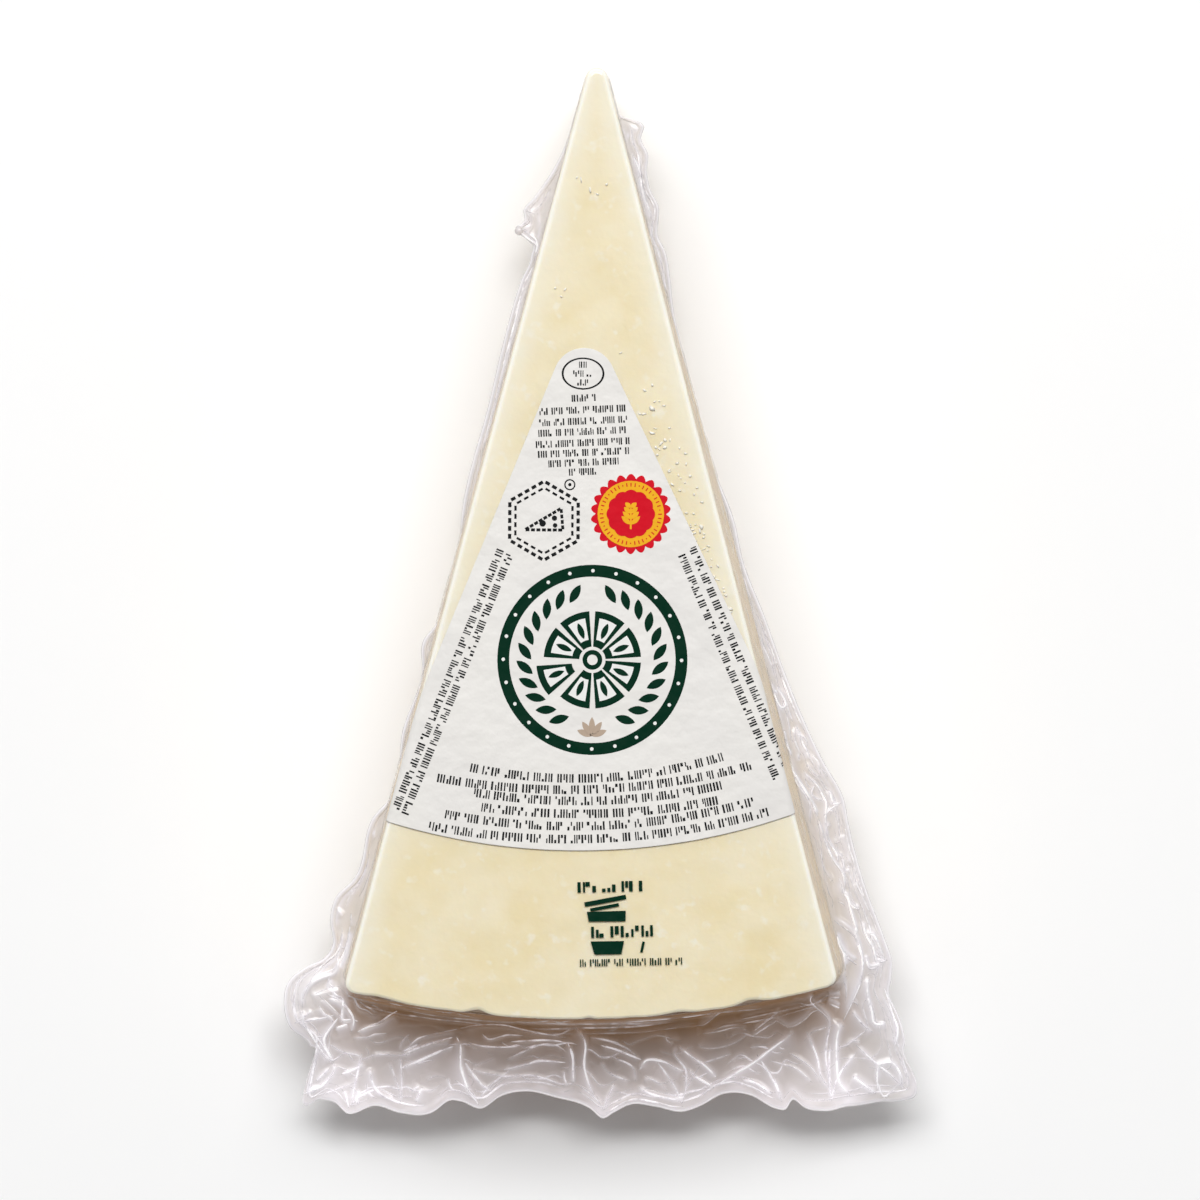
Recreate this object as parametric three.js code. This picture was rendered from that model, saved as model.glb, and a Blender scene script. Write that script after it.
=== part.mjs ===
// A wedge of hard sheep's milk cheese, cut from a wheel and sealed in a clear wrinkled bag,
// with a label stuck on its upper cut face.
// Millimetres, +Z up. The pack lies on its lower cut face, its tip points along +Y, and the
// origin is under the middle of the whole pack.
import * as THREE from 'three';

// The wedge
const WHEEL_RADIUS = 150;
const HALF_ANGLE = THREE.MathUtils.degToRad(14.6);
const THICKNESS = 38;
const TIP_RADIUS = 1.75;
const CORNER_RADIUS = 1.8;
const EDGE_RADIUS = 1.1;
const AXIS_X = -1.35;
const AXIS_Y = 85.73;

// How far each side wall swells past the face's edge, where the bag's skirt leaves it
const SWELL = { tip: 0.4, right: 1.7, rind: 1.0, left: 0.8 };
const STRAIGHT_WALL = 6;

// Places where the rind's edge is chipped: degrees from the middle line, depth, half width
const CHIPS = [
  { at: 9.3, depth: 0.9, half: 1.1 },
  { at: 5.1, depth: 0.6, half: 1.4 },
  { at: -6.5, depth: 1.0, half: 1.0 },
  { at: -12.6, depth: 0.6, half: 0.8 },
];

// The bag's skirt: a wavy double sheet of film round the pack, with a thicker rolled rim
const SKIRT_Z = 13;
const SHEET_HALF = 0.75;
const RIM_HALF = 1.0;
const ROOT_FILLET = 1.8;
const DROOP = 0.12;
const WAVES = [
  { length: 17, height: 0.9, phase: 0 },
  { length: 7.3, height: 0.5, phase: 1 },
];
const FULL_WAVE_REACH = 14;

// The skirt's reach past the face's edge, in walking order from the tip.
// Along a side: [distance from the wheel's centre, reach].
// Round a corner: [degrees turned from the side's normal, reach].
// Along the rind: [degrees to the right of the middle line, reach].
const REACH = {
  right: [
    [7, 0.55], [12, 0.8], [14, 3.8], [19, 3.3], [31, 2.1], [42, 1.4],
    [66, 1.3], [93, 3.5], [110, 5.4], [123, 8.3], [145, 9.2],
  ],
  rightCorner: [[20, 9.4], [36, 10], [47, 13.5], [57, 16.6], [66, 22], [78, 20.6]],
  rind: [
    [13.4, 19.8], [11, 17], [9.9, 17.8], [7.6, 14.3], [5.3, 16.2], [2.7, 14.7],
    [0.7, 16.8], [-3.3, 13], [-5.8, 16], [-7.2, 15.4], [-9.5, 18.5], [-12.8, 20.5],
  ],
  leftCorner: [[82, 20], [75, 13.4], [45, 12], [20, 9]],
  left: [
    [145, 4.4], [141, 5.2], [134, 3.2], [121, 1.2], [96, 2], [80, 0.9], [50, 2],
    [34, 1.6], [31, 4.6], [27.5, 4.3], [20.5, 1.7], [9, 0.55],
  ],
};
const LEAST_REACH = 0.5;

// The label: a rounded wedge of its own, a little wider than the face near its lower end,
// where its sides wrap over the face's edges
const LABEL_TOP = { x: -1.8, r: 47.9 };
const LABEL_TILT = THREE.MathUtils.degToRad(2);
const LABEL_HALF_ANGLE = THREE.MathUtils.degToRad(24);
const LABEL_TOP_RADIUS = 4.7;
const LABEL_LENGTH = 76.4;
const LABEL_BOTTOM_RADIUS = 98.6;
const LABEL_THICKNESS = 0.3;
const TOUCHING_GAP = 0.3;

// How finely the surfaces are cut up
const TIP_STEPS = 10;
const SIDE_STEP = 3;
const CORNER_STEPS = 15;
const RIND_STEPS = 34;
const LABEL_ROWS = 26;
const LABEL_COLUMNS = [0, 0.3, 0.55, 0.75, 0.84, 0.88, 0.91, 0.94, 0.97, 1];
const CORNER_WALK = 12;
const CAP_CENTRE = 105;

const { sin, cos, tan, asin, sqrt, abs, min, max, sign, PI } = Math;
const { degToRad, radToDeg, lerp, smoothstep } = THREE.MathUtils;

// The face's outline in plan. x runs to the right of the wedge's middle line and r down it
// from the wheel's centre. A bearing is measured from the +r direction towards +x.
const CORNER_CENTRE = WHEEL_RADIUS - CORNER_RADIUS;
const CORNER_BEARING = HALF_ANGLE - asin(CORNER_RADIUS / CORNER_CENTRE);
const SIDE_BEARING = PI / 2 + HALF_ANGLE;
const CORNER_TURN = SIDE_BEARING - CORNER_BEARING;
const SIDE_START = TIP_RADIUS / tan(HALF_ANGLE);
const SIDE_END = sqrt(CORNER_CENTRE ** 2 - CORNER_RADIUS ** 2);
const TIP_CENTRE = TIP_RADIUS / sin(HALF_ANGLE);
const HALF_TIP_WALK = TIP_RADIUS * (PI - SIDE_BEARING);
const RIND_WALK = 2 * CORNER_BEARING * WHEEL_RADIUS;

// Walking distance round the outline, from the middle of the tip down the right side
const WALK = {
  right: (along) => HALF_TIP_WALK + along - SIDE_START,
  rightCorner: (degrees) => WALK.right(SIDE_END) + CORNER_WALK * degToRad(degrees) / CORNER_TURN,
  rind: (degrees) =>
    WALK.right(SIDE_END) + CORNER_WALK + (CORNER_BEARING - degToRad(degrees)) * WHEEL_RADIUS,
  leftCorner: (degrees) =>
    WALK.rind(0) + RIND_WALK / 2 + CORNER_WALK * (1 - degToRad(degrees) / CORNER_TURN),
  left: (along) => WALK.rind(0) + RIND_WALK / 2 + CORNER_WALK + SIDE_END - along,
};
const WHOLE_WALK = WALK.left(SIDE_START) + HALF_TIP_WALK;

function station(x, r, bearing, walk, swell, angle = null) {
  return { x, r, nx: sin(bearing), nr: cos(bearing), walk, swell, angle };
}

function tipStations() {
  const stations = [];
  for (let i = -TIP_STEPS / 2; i < TIP_STEPS / 2; i += 1) {
    const turned = (2 * i / TIP_STEPS) * (PI - SIDE_BEARING);
    const bearing = PI - turned;
    const x = TIP_RADIUS * sin(bearing);
    const r = TIP_CENTRE + TIP_RADIUS * cos(bearing);
    stations.push(station(x, r, bearing, TIP_RADIUS * turned, SWELL.tip));
  }
  return stations;
}

function sideStations(hand) {
  const steps = Math.round((SIDE_END - SIDE_START) / SIDE_STEP);
  const stations = [];
  for (let i = 0; i < steps; i += 1) {
    const share = hand > 0 ? i / steps : 1 - i / steps;
    const along = lerp(SIDE_START, SIDE_END, share);
    const walk = hand > 0 ? WALK.right(along) : WALK.left(along);
    const full = hand > 0 ? SWELL.right : SWELL.left;
    const swell = lerp(SWELL.tip, full, smoothstep(share, 0, 0.6));
    const x = hand * along * sin(HALF_ANGLE);
    stations.push(station(x, along * cos(HALF_ANGLE), hand * SIDE_BEARING, walk, swell));
  }
  return stations;
}

function cornerStations(hand) {
  const stations = [];
  for (let i = 0; i < CORNER_STEPS; i += 1) {
    const share = hand > 0 ? i / CORNER_STEPS : 1 - i / CORNER_STEPS;
    const turned = share * CORNER_TURN;
    const bearing = hand * (SIDE_BEARING - turned);
    const x = hand * CORNER_CENTRE * sin(CORNER_BEARING) + CORNER_RADIUS * sin(bearing);
    const r = CORNER_CENTRE * cos(CORNER_BEARING) + CORNER_RADIUS * cos(bearing);
    const corner = hand > 0 ? WALK.rightCorner : WALK.leftCorner;
    const swell = lerp(hand > 0 ? SWELL.right : SWELL.left, SWELL.rind, share);
    stations.push(station(x, r, bearing, corner(radToDeg(turned)), swell));
  }
  return stations;
}

function rindStations() {
  const stations = [];
  for (let i = 0; i < RIND_STEPS; i += 1) {
    const bearing = lerp(CORNER_BEARING, -CORNER_BEARING, i / RIND_STEPS);
    const degrees = radToDeg(bearing);
    const x = WHEEL_RADIUS * sin(bearing);
    const r = WHEEL_RADIUS * cos(bearing);
    stations.push(station(x, r, bearing, WALK.rind(degrees), SWELL.rind, degrees));
  }
  return stations;
}

function chipDepth({ angle }) {
  if (angle === null) return 0;
  let depth = 0;
  for (const chip of CHIPS) {
    const off = abs(angle - chip.at) / chip.half;
    depth = max(depth, chip.depth * max(0, 1 - off));
  }
  return depth;
}

// A smooth closed curve through the reaches, as a function of the walking distance
function reachCurve() {
  const knots = [];
  for (const [part, pairs] of Object.entries(REACH)) {
    for (const [at, reach] of pairs) knots.push([WALK[part](at), reach]);
  }
  const count = knots.length;
  const knot = (i) => {
    const turns = Math.floor(i / count);
    const [walk, reach] = knots[i - turns * count];
    return [walk + turns * WHOLE_WALK, reach];
  };
  const slope = (i) => (knot(i + 1)[1] - knot(i - 1)[1]) / (knot(i + 1)[0] - knot(i - 1)[0]);
  return (walk) => {
    let i = -1;
    while (knot(i + 1)[0] <= walk) i += 1;
    const [start, from] = knot(i);
    const [end, to] = knot(i + 1);
    const width = end - start;
    const t = (walk - start) / width;
    const ease = t * t * (3 - 2 * t);
    const lift = width * t * (1 - t) * ((1 - t) * slope(i) - t * slope(i + 1));
    return max(LEAST_REACH, lerp(from, to, ease) + lift);
  };
}

// Height of the skirt's middle surface at a share of its reach
function skirtHeight(walk, reach, share) {
  const size = share * min(1, reach / FULL_WAVE_REACH);
  let wave = 0;
  for (const { length, height, phase } of WAVES) {
    const whole = Math.round(WHOLE_WALK / length);
    wave += height * sin(2 * PI * whole * walk / WHOLE_WALK + phase);
  }
  return SKIRT_Z - DROOP * reach * share + size * wave;
}

// The pack's section at one station, from the face's edge round the skirt to the base:
// [outward from the face's edge, height]
function packSection(at, reach) {
  const chip = chipDepth(at);
  const swell = min(at.swell, 0.5 * reach);
  const eased = EDGE_RADIUS * (1 - sin(PI / 4));
  const thin = min(1, reach / 2);
  const middle = (share) => lerp(swell, reach, share);
  const height = (share) => skirtHeight(at.walk, reach, share);
  const fillet = ROOT_FILLET * thin;
  const sheet = SHEET_HALF * lerp(0.5, 1, thin);
  const rim = RIM_HALF * lerp(0.4, 1, thin);
  return [
    [-EDGE_RADIUS - chip, THICKNESS],
    [-eased - chip, THICKNESS - eased],
    [-chip, THICKNESS - EDGE_RADIUS],
    [0, THICKNESS - EDGE_RADIUS - STRAIGHT_WALL],
    [swell, SKIRT_Z + sheet + fillet],
    [middle(0.12), height(0.12) + sheet],
    [middle(0.5), height(0.5) + sheet],
    [middle(0.86), height(0.86) + sheet],
    [middle(0.95), height(0.95) + rim],
    [middle(1), height(1)],
    [middle(0.95), height(0.95) - rim],
    [middle(0.5), height(0.5) - sheet],
    [middle(0.12), height(0.12) - sheet],
    [swell, SKIRT_Z - sheet - fillet],
    [0, EDGE_RADIUS],
    [-eased, eased],
    [-EDGE_RADIUS, 0],
  ];
}

function place(x, r, z) {
  return [AXIS_X + x, AXIS_Y - r, z];
}

function closedGeometry(points, triangles) {
  const geometry = new THREE.BufferGeometry();
  geometry.setAttribute('position', new THREE.Float32BufferAttribute(points.flat(), 3));
  geometry.setIndex(triangles.flat());
  geometry.computeVertexNormals();
  return geometry;
}

function quad(triangles, a, b, c, d) {
  triangles.push([a, b, c], [a, c, d]);
}

// A flat cap: a fan from one point inside a ring of points
function cap(points, first, count, facesUp) {
  const centre = points.push(place(0, CAP_CENTRE, points[first][2])) - 1;
  const faces = [];
  for (let i = 0; i < count; i += 1) {
    const here = first + i;
    const next = first + (i + 1) % count;
    faces.push(facesUp ? [centre, next, here] : [centre, here, next]);
  }
  return faces;
}

function packGeometry() {
  const stations = [
    ...tipStations(), ...sideStations(1), ...cornerStations(1),
    ...rindStations(), ...cornerStations(-1), ...sideStations(-1),
  ];
  const reachAt = reachCurve();
  const sections = stations.map((at) => packSection(at, reachAt(at.walk)));
  const around = stations.length;
  const rings = sections[0].length;
  const points = [];
  for (let ring = 0; ring < rings; ring += 1) {
    stations.forEach(({ x, r, nx, nr }, i) => {
      const [outward, z] = sections[i][ring];
      points.push(place(x + nx * outward, r + nr * outward, z));
    });
  }
  const triangles = [];
  for (let ring = 0; ring + 1 < rings; ring += 1) {
    for (let i = 0; i < around; i += 1) {
      const next = (i + 1) % around;
      const upper = ring * around;
      const lower = upper + around;
      quad(triangles, upper + i, upper + next, lower + next, lower + i);
    }
  }
  triangles.push(...cap(points, 0, around, true));
  triangles.push(...cap(points, (rings - 1) * around, around, false));
  return closedGeometry(points, triangles);
}

// Half the flat label's width at a distance below its rounded top
function labelHalfWidth(below) {
  const virtualTop = LABEL_TOP_RADIUS * (1 / sin(LABEL_HALF_ANGLE) - 1);
  const roundedDown = LABEL_TOP_RADIUS * (1 - sin(LABEL_HALF_ANGLE));
  if (below > roundedDown) return (below + virtualTop) * tan(LABEL_HALF_ANGLE);
  return sqrt(max(0, LABEL_TOP_RADIUS ** 2 - (LABEL_TOP_RADIUS - below) ** 2));
}

// How far below its top the label ends, in the column at this share of its half width
function labelEnd(share) {
  let below = LABEL_LENGTH;
  for (let i = 0; i < 8; i += 1) {
    const across = share * labelHalfWidth(below);
    const sagitta = LABEL_BOTTOM_RADIUS - sqrt(LABEL_BOTTOM_RADIUS ** 2 - across ** 2);
    below = LABEL_LENGTH - sagitta;
  }
  return below;
}

// A point of the flat label laid on the face, wrapped over the face's edge where it is wider
function wrapLabel(across, below, height) {
  const x = LABEL_TOP.x + across * cos(LABEL_TILT) + below * sin(LABEL_TILT);
  const r = LABEL_TOP.r + below * cos(LABEL_TILT) - across * sin(LABEL_TILT);
  const centre = r * tan(HALF_ANGLE) - EDGE_RADIUS;
  const past = abs(x) - centre;
  if (past <= 0) return place(x, r, THICKNESS + height);
  const bend = EDGE_RADIUS + TOUCHING_GAP;
  const angle = min(PI / 2, past / bend);
  const down = past - bend * angle;
  const out = centre + (EDGE_RADIUS + height) * sin(angle);
  const z = THICKNESS - EDGE_RADIUS + (EDGE_RADIUS + height) * cos(angle) - down;
  return place(sign(x) * out, r, z);
}

function labelGeometry() {
  const columns = [...LABEL_COLUMNS.slice(1).reverse().map((u) => -u), ...LABEL_COLUMNS];
  const wide = columns.length;
  const points = [];
  for (const height of [TOUCHING_GAP + LABEL_THICKNESS, TOUCHING_GAP]) {
    for (let row = 0; row <= LABEL_ROWS; row += 1) {
      const share = lerp(0.002, 1, (row / LABEL_ROWS) ** 1.4);
      for (const u of columns) {
        const below = share * labelEnd(u);
        points.push(wrapLabel(u * labelHalfWidth(below), below, height));
      }
    }
  }
  const sheet = (LABEL_ROWS + 1) * wide;
  const triangles = [];
  for (let row = 0; row < LABEL_ROWS; row += 1) {
    for (let i = 0; i + 1 < wide; i += 1) {
      const a = row * wide + i;
      quad(triangles, a, a + wide, a + wide + 1, a + 1);
      quad(triangles, sheet + a, sheet + a + 1, sheet + a + wide + 1, sheet + a + wide);
    }
  }
  const wall = (a, b) => quad(triangles, a, b, sheet + b, sheet + a);
  for (let i = 0; i + 1 < wide; i += 1) {
    wall(i, i + 1);
    wall(LABEL_ROWS * wide + i + 1, LABEL_ROWS * wide + i);
  }
  for (let row = 0; row < LABEL_ROWS; row += 1) {
    wall((row + 1) * wide, row * wide);
    wall(row * wide + wide - 1, (row + 1) * wide + wide - 1);
  }
  return closedGeometry(points, triangles);
}

function named(name, geometry, color, roughness) {
  const material = new THREE.MeshStandardMaterial({ color, roughness, metalness: 0 });
  const mesh = new THREE.Mesh(geometry, material);
  mesh.name = name;
  return mesh;
}

const pack = new THREE.Group();
pack.add(named('vacuum_pack', packGeometry(), 0xefe2c1, 0.25));
pack.add(named('label', labelGeometry(), 0xecebe6, 0.5));

export default pack;
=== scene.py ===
"""A wedge of hard white cheese sealed in clear wrinkled film, with a printed label.

Sizes are millimetres in plan coordinates: x runs to the right of the wedge's middle line and r
down it from the wheel's centre, and z is the height over the surface the pack lies on.
"""

from __future__ import annotations

import logging
import math
from dataclasses import dataclass, field
from enum import Enum
from functools import cache
from typing import Any, Callable, Sequence

import bmesh
import bpy
import numpy as np
from mathutils.bvhtree import BVHTree
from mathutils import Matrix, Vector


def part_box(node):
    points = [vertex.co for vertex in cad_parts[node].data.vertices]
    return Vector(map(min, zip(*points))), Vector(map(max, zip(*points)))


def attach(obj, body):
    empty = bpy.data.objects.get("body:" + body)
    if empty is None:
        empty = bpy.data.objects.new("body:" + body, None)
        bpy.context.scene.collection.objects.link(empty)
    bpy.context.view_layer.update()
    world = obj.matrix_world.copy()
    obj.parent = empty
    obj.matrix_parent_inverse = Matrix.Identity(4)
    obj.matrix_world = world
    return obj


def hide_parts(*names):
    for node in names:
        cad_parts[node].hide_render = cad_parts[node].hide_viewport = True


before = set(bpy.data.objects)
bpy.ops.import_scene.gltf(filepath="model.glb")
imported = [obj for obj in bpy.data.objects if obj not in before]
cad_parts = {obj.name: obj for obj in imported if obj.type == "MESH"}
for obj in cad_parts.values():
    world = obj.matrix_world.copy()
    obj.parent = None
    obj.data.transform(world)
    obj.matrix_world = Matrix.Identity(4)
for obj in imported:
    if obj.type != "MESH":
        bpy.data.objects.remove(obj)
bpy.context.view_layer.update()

LOG = logging.getLogger("cheese")
MM = 0.001
BODY = "root"
Array = np.ndarray
Pair = tuple[float, float]


class Slot(Enum):
    """The record's material slots; each piece is built with one, which nothing reads."""

    FILM = "clear_film"
    PAPER = "label_paper"
    CHEESE = "cheese"
    INK = "label_ink"


class Section(Enum):
    """The stretches of the face's outline, in walking order from the tip."""

    RIGHT = "right"
    RIGHT_CORNER = "right corner"
    RIND = "rind"
    LEFT_CORNER = "left corner"
    LEFT = "left"


def lerp(start: Any, end: Any, share: Any) -> Any:
    """Blends from start to end."""
    return start + (end - start) * share


@cache
def far_end() -> float:
    """Where the CAD pack ends along Y, in millimetres."""
    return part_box("vacuum_pack")[1].y / MM


def smoothstep(value: Any, low: float, high: float) -> Any:
    """Rises smoothly from 0 at low to 1 at high."""
    t = np.clip((value - low) / (high - low), 0.0, 1.0)
    return t * t * (3.0 - 2.0 * t)


# ---------------------------------------------------------------------------------------------
# Plan geometry


@dataclass(frozen=True)
class Stations:
    """Points of the face's outline with their outward normals, as arrays of one length."""

    x: Array
    r: Array
    nx: Array
    nr: Array
    walk: Array
    swell: Array
    rind: Array

    def outward(self, distance: Array) -> tuple[Array, Array]:
        """Plan points at a distance outside the outline.

        Args:
            distance: how far out, with the stations along the last axis.

        Returns:
            The plan coordinates x and r.
        """
        return self.x + self.nx * distance, self.r + self.nr * distance


@dataclass(frozen=True)
class Sampling:
    """How finely the outline is cut up."""

    tip_steps: int
    side_steps: int
    corner_steps: int
    rind_steps: int


@dataclass(frozen=True)
class Wedge:
    """The cheese wedge's sizes and its outline in plan."""

    wheel_radius: float = 150.0
    half_angle: float = math.radians(14.6)
    thickness: float = 38.0
    tip_radius: float = 1.75
    corner_radius: float = 1.8
    edge_radius: float = 1.1
    corner_walk: float = 12.0
    skirt_z: float = 13.0
    middle_line_x: float = -1.35
    tip_reach: float = 0.5
    crowding: float = 0.6
    rind_skew: float = 0.02
    swells: tuple[float, float, float, float] = (0.4, 1.7, 1.0, 0.8)

    @property
    def corner_centre(self) -> float:
        """Distance of the rind corners' centres from the wheel's centre."""
        return self.wheel_radius - self.corner_radius

    @property
    def corner_bearing(self) -> float:
        """Bearing of the right rind corner's centre."""
        return self.half_angle - math.asin(self.corner_radius / self.corner_centre)

    @property
    def side_bearing(self) -> float:
        """Bearing of the right side's outward normal."""
        return math.pi / 2 + self.half_angle

    @property
    def side_start(self) -> float:
        """Distance along a side where the rounded tip ends."""
        return self.tip_radius / math.tan(self.half_angle)

    @property
    def side_end(self) -> float:
        """Distance along a side where the rind corner begins."""
        return math.sqrt(self.corner_centre**2 - self.corner_radius**2)

    @property
    def tip_centre(self) -> float:
        """Distance of the tip rounding's centre from the wheel's centre."""
        return self.tip_radius / math.sin(self.half_angle)

    @property
    def half_tip_walk(self) -> float:
        """Walking distance over half of the rounded tip."""
        return self.tip_radius * (math.pi - self.side_bearing)

    @property
    def whole_walk(self) -> float:
        """Walking distance round the whole outline."""
        return self.walk(Section.LEFT, self.side_start) + self.half_tip_walk

    def walk(self, section: Section, at: Any) -> Any:
        """Walking distance from the middle of the tip down the right side.

        Args:
            section: the stretch of outline that the place is on.
            at: distance from the wheel's centre on a side, degrees turned from the side's
                normal on a corner, or degrees right of the middle line on the rind.

        Returns:
            The distance, in the same shape as at.
        """
        right_end = self.half_tip_walk + self.side_end - self.side_start
        turn = self.side_bearing - self.corner_bearing
        rind_middle = right_end + self.corner_walk + self.corner_bearing * self.wheel_radius
        rind_end = rind_middle + self.corner_bearing * self.wheel_radius
        turned = self.corner_walk * np.radians(at) / turn
        return {
            Section.RIGHT: self.half_tip_walk + at - self.side_start,
            Section.RIGHT_CORNER: right_end + turned,
            Section.RIND: rind_middle - np.radians(at) * self.wheel_radius,
            Section.LEFT_CORNER: rind_end + self.corner_walk - turned,
            Section.LEFT: rind_end + self.corner_walk + self.side_end - at,
        }[section]

    def sample(self, cut: Sampling) -> Stations:
        """Cuts the outline into stations.

        Args:
            cut: how many steps each stretch takes.

        Returns:
            The stations, in walking order, symmetric about the middle line.
        """
        tip, right, rind, left = self.swells
        steps = np.arange(cut.tip_steps) / cut.tip_steps
        turned = (2 * steps - 1) * (math.pi - self.side_bearing)
        tip_part = self._arc(0, self.tip_centre, self.tip_radius, math.pi - turned)
        parts = [(*tip_part, self.tip_radius * turned, np.full(turned.shape, tip), 0 * turned)]
        even = np.arange(cut.side_steps) / cut.side_steps
        parts.append(self._side(even + self.crowding * even * (1 - even), 1, right))
        share = np.arange(cut.corner_steps) / cut.corner_steps
        parts.append(self._corner(share, 1, right))
        bearing = lerp(
            self.corner_bearing, -self.corner_bearing, np.arange(cut.rind_steps) / cut.rind_steps
        )
        arc = self._arc(0, 0, self.wheel_radius, bearing)
        walk = self.walk(Section.RIND, np.degrees(bearing))
        parts.append((*arc, walk, np.full(bearing.shape, rind), np.ones(bearing.shape)))
        share = 1 - np.arange(cut.corner_steps) / cut.corner_steps
        parts.append(self._corner(share, -1, left))
        even = 1 - np.arange(cut.side_steps) / cut.side_steps
        parts.append(self._side(even + self.crowding * even * (1 - even), -1, left))
        return Stations(*[np.concatenate(column) for column in zip(*parts)])

    def _arc(self, x: float, r: float, radius: float, bearing: Array) -> tuple[Array, ...]:
        """Points and normals on an arc about (x, r)."""
        nx, nr = np.sin(bearing), np.cos(bearing)
        return x + radius * nx, r + radius * nr, nx, nr

    def _side(self, share: Array, hand: int, full_swell: float) -> tuple[Array, ...]:
        """Stations down one straight side, at shares of its length.

        Args:
            share: shares of the side's length, from the tip.
            hand: 1 for the right side, -1 for the left.
            full_swell: how far the lower part of the wall stands out.

        Returns:
            Columns of x, r, both parts of the normal, walk, swell and rind.
        """
        along = lerp(self.side_start, self.side_end, share)
        ones = np.ones(share.shape)
        section = Section.RIGHT if hand > 0 else Section.LEFT
        swell = lerp(self.swells[0], full_swell, smoothstep(share, 0.0, 0.6))
        bearing = hand * self.side_bearing * ones
        return (
            hand * along * math.sin(self.half_angle),
            along * math.cos(self.half_angle),
            np.sin(bearing),
            np.cos(bearing),
            self.walk(section, along),
            swell,
            0 * ones,
        )

    def _corner(self, share: Array, hand: int, side_swell: float) -> tuple[Array, ...]:
        """Stations round one rind corner, at shares of its turn from the side.

        Args:
            share: shares of the turn.
            hand: 1 for the right corner, -1 for the left.
            side_swell: how far the wall stands out at the side's end.

        Returns:
            Columns of x, r, both parts of the normal, walk, swell and rind.
        """
        turned = share * (self.side_bearing - self.corner_bearing)
        centre_x = hand * self.corner_centre * math.sin(self.corner_bearing)
        centre_r = self.corner_centre * math.cos(self.corner_bearing)
        arc = self._arc(
            centre_x, centre_r, self.corner_radius, hand * (self.side_bearing - turned)
        )
        section = Section.RIGHT_CORNER if hand > 0 else Section.LEFT_CORNER
        swell = lerp(side_swell, self.swells[2], share)
        return (*arc, self.walk(section, np.degrees(turned)), swell, share)

    def skewed(self, x: Array, r: Array, share: Any = 1.0) -> Array:
        """The distance down the middle line, with the rind run further out on the left.

        Args:
            x: plan points.
            r: plan points.
            share: how far each point goes along with it.

        Returns:
            The new distances.
        """
        return r - self.rind_skew * x * smoothstep(r, 110.0, 145.0) * share

    def middle_line_y(self) -> float:
        """Where the wheel's centre lies along Y, from the frame's own highest point."""
        tip = self.tip_centre - self.tip_radius - self.tip_reach
        return far_end() + tip

    def world(self, x: Array, r: Array, z: Array) -> Array:
        """Turns plan coordinates into points of the frame.

        Args:
            x: millimetres to the right of the middle line.
            r: millimetres down it from the wheel's centre.
            z: millimetres over the surface the pack lies on.

        Returns:
            The points, in metres, one row each.
        """
        x, r, z = np.broadcast_arrays(x, r, z)
        columns = (self.middle_line_x + x, self.middle_line_y() - r, z)
        return np.stack([column.ravel() for column in columns], axis=1) * MM


@dataclass(frozen=True)
class Eye:
    """Where the pack is looked at from, and how the picture's dots lie on level planes."""

    dots: float = 1200.0
    view_width: float = 182.4
    height: float = 1170.0
    centre: Pair = (1.0, 86.2)
    roll: float = math.radians(0.37)

    def plan(self, across: float, down: float, sunk: float) -> Pair:
        """Turns a place in the picture into a plan point, to a tenth of a millimetre.

        Args:
            across: dots from the picture's left edge.
            down: dots from its top edge.
            sunk: how far the plane lies below the wedge's face.

        Returns:
            The plan point.
        """
        dot = self.view_width / self.dots * (self.height + sunk) / self.height
        right, up = (across - self.dots / 2) * dot, (self.dots / 2 - down) * dot
        x = self.centre[0] + right * math.cos(self.roll) - up * math.sin(self.roll)
        r = self.centre[1] - right * math.sin(self.roll) - up * math.cos(self.roll)
        return round(x, 1), round(r, 1)


class Noise:
    """Smooth random relief over a plane, the same on every run."""

    SIZE = 64
    STEP = 0.05

    def __init__(self, seed: int) -> None:
        """Draws the slopes at the lattice points.

        Args:
            seed: picks one of many fields.
        """
        angles = np.random.default_rng(seed).uniform(0, 2 * math.pi, (self.SIZE, self.SIZE))
        self.slopes = np.stack([np.cos(angles), np.sin(angles)], axis=-1)

    def value(self, u: Array, v: Array) -> Array:
        """Gradient noise, about -0.7 to 0.7, with a lattice step of 1.

        Args:
            u: first coordinate.
            v: second coordinate.

        Returns:
            The noise, in the coordinates' shape.
        """
        u0, v0 = np.floor(u).astype(int), np.floor(v).astype(int)
        fu, fv = u - u0, v - v0
        wu = fu**3 * (fu * (6 * fu - 15) + 10)
        wv = fv**3 * (fv * (6 * fv - 15) + 10)
        corners = []
        for du in (0, 1):
            for dv in (0, 1):
                slope = self.slopes[(u0 + du) % self.SIZE, (v0 + dv) % self.SIZE]
                corners.append(slope[..., 0] * (fu - du) + slope[..., 1] * (fv - dv))
        low = lerp(corners[0], corners[1], wv)
        high = lerp(corners[2], corners[3], wv)
        return lerp(low, high, wu)

    def creases(self, u: Array, v: Array, width: float) -> Array:
        """Ridges of even width that wander along the field's zero lines.

        Args:
            u: first coordinate, in lattice steps.
            v: second coordinate, in lattice steps.
            width: half width of a ridge, in lattice steps.

        Returns:
            1 on a ridge's crest, falling to 0 beside it.
        """
        middle = self.value(u, v)
        du = (self.value(u + self.STEP, v) - middle) / self.STEP
        dv = (self.value(u, v + self.STEP) - middle) / self.STEP
        distance = np.abs(middle) / np.maximum(np.hypot(du, dv), 0.25)
        return np.exp(-((distance / width) ** 2))


# ---------------------------------------------------------------------------------------------
# Meshes


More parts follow.
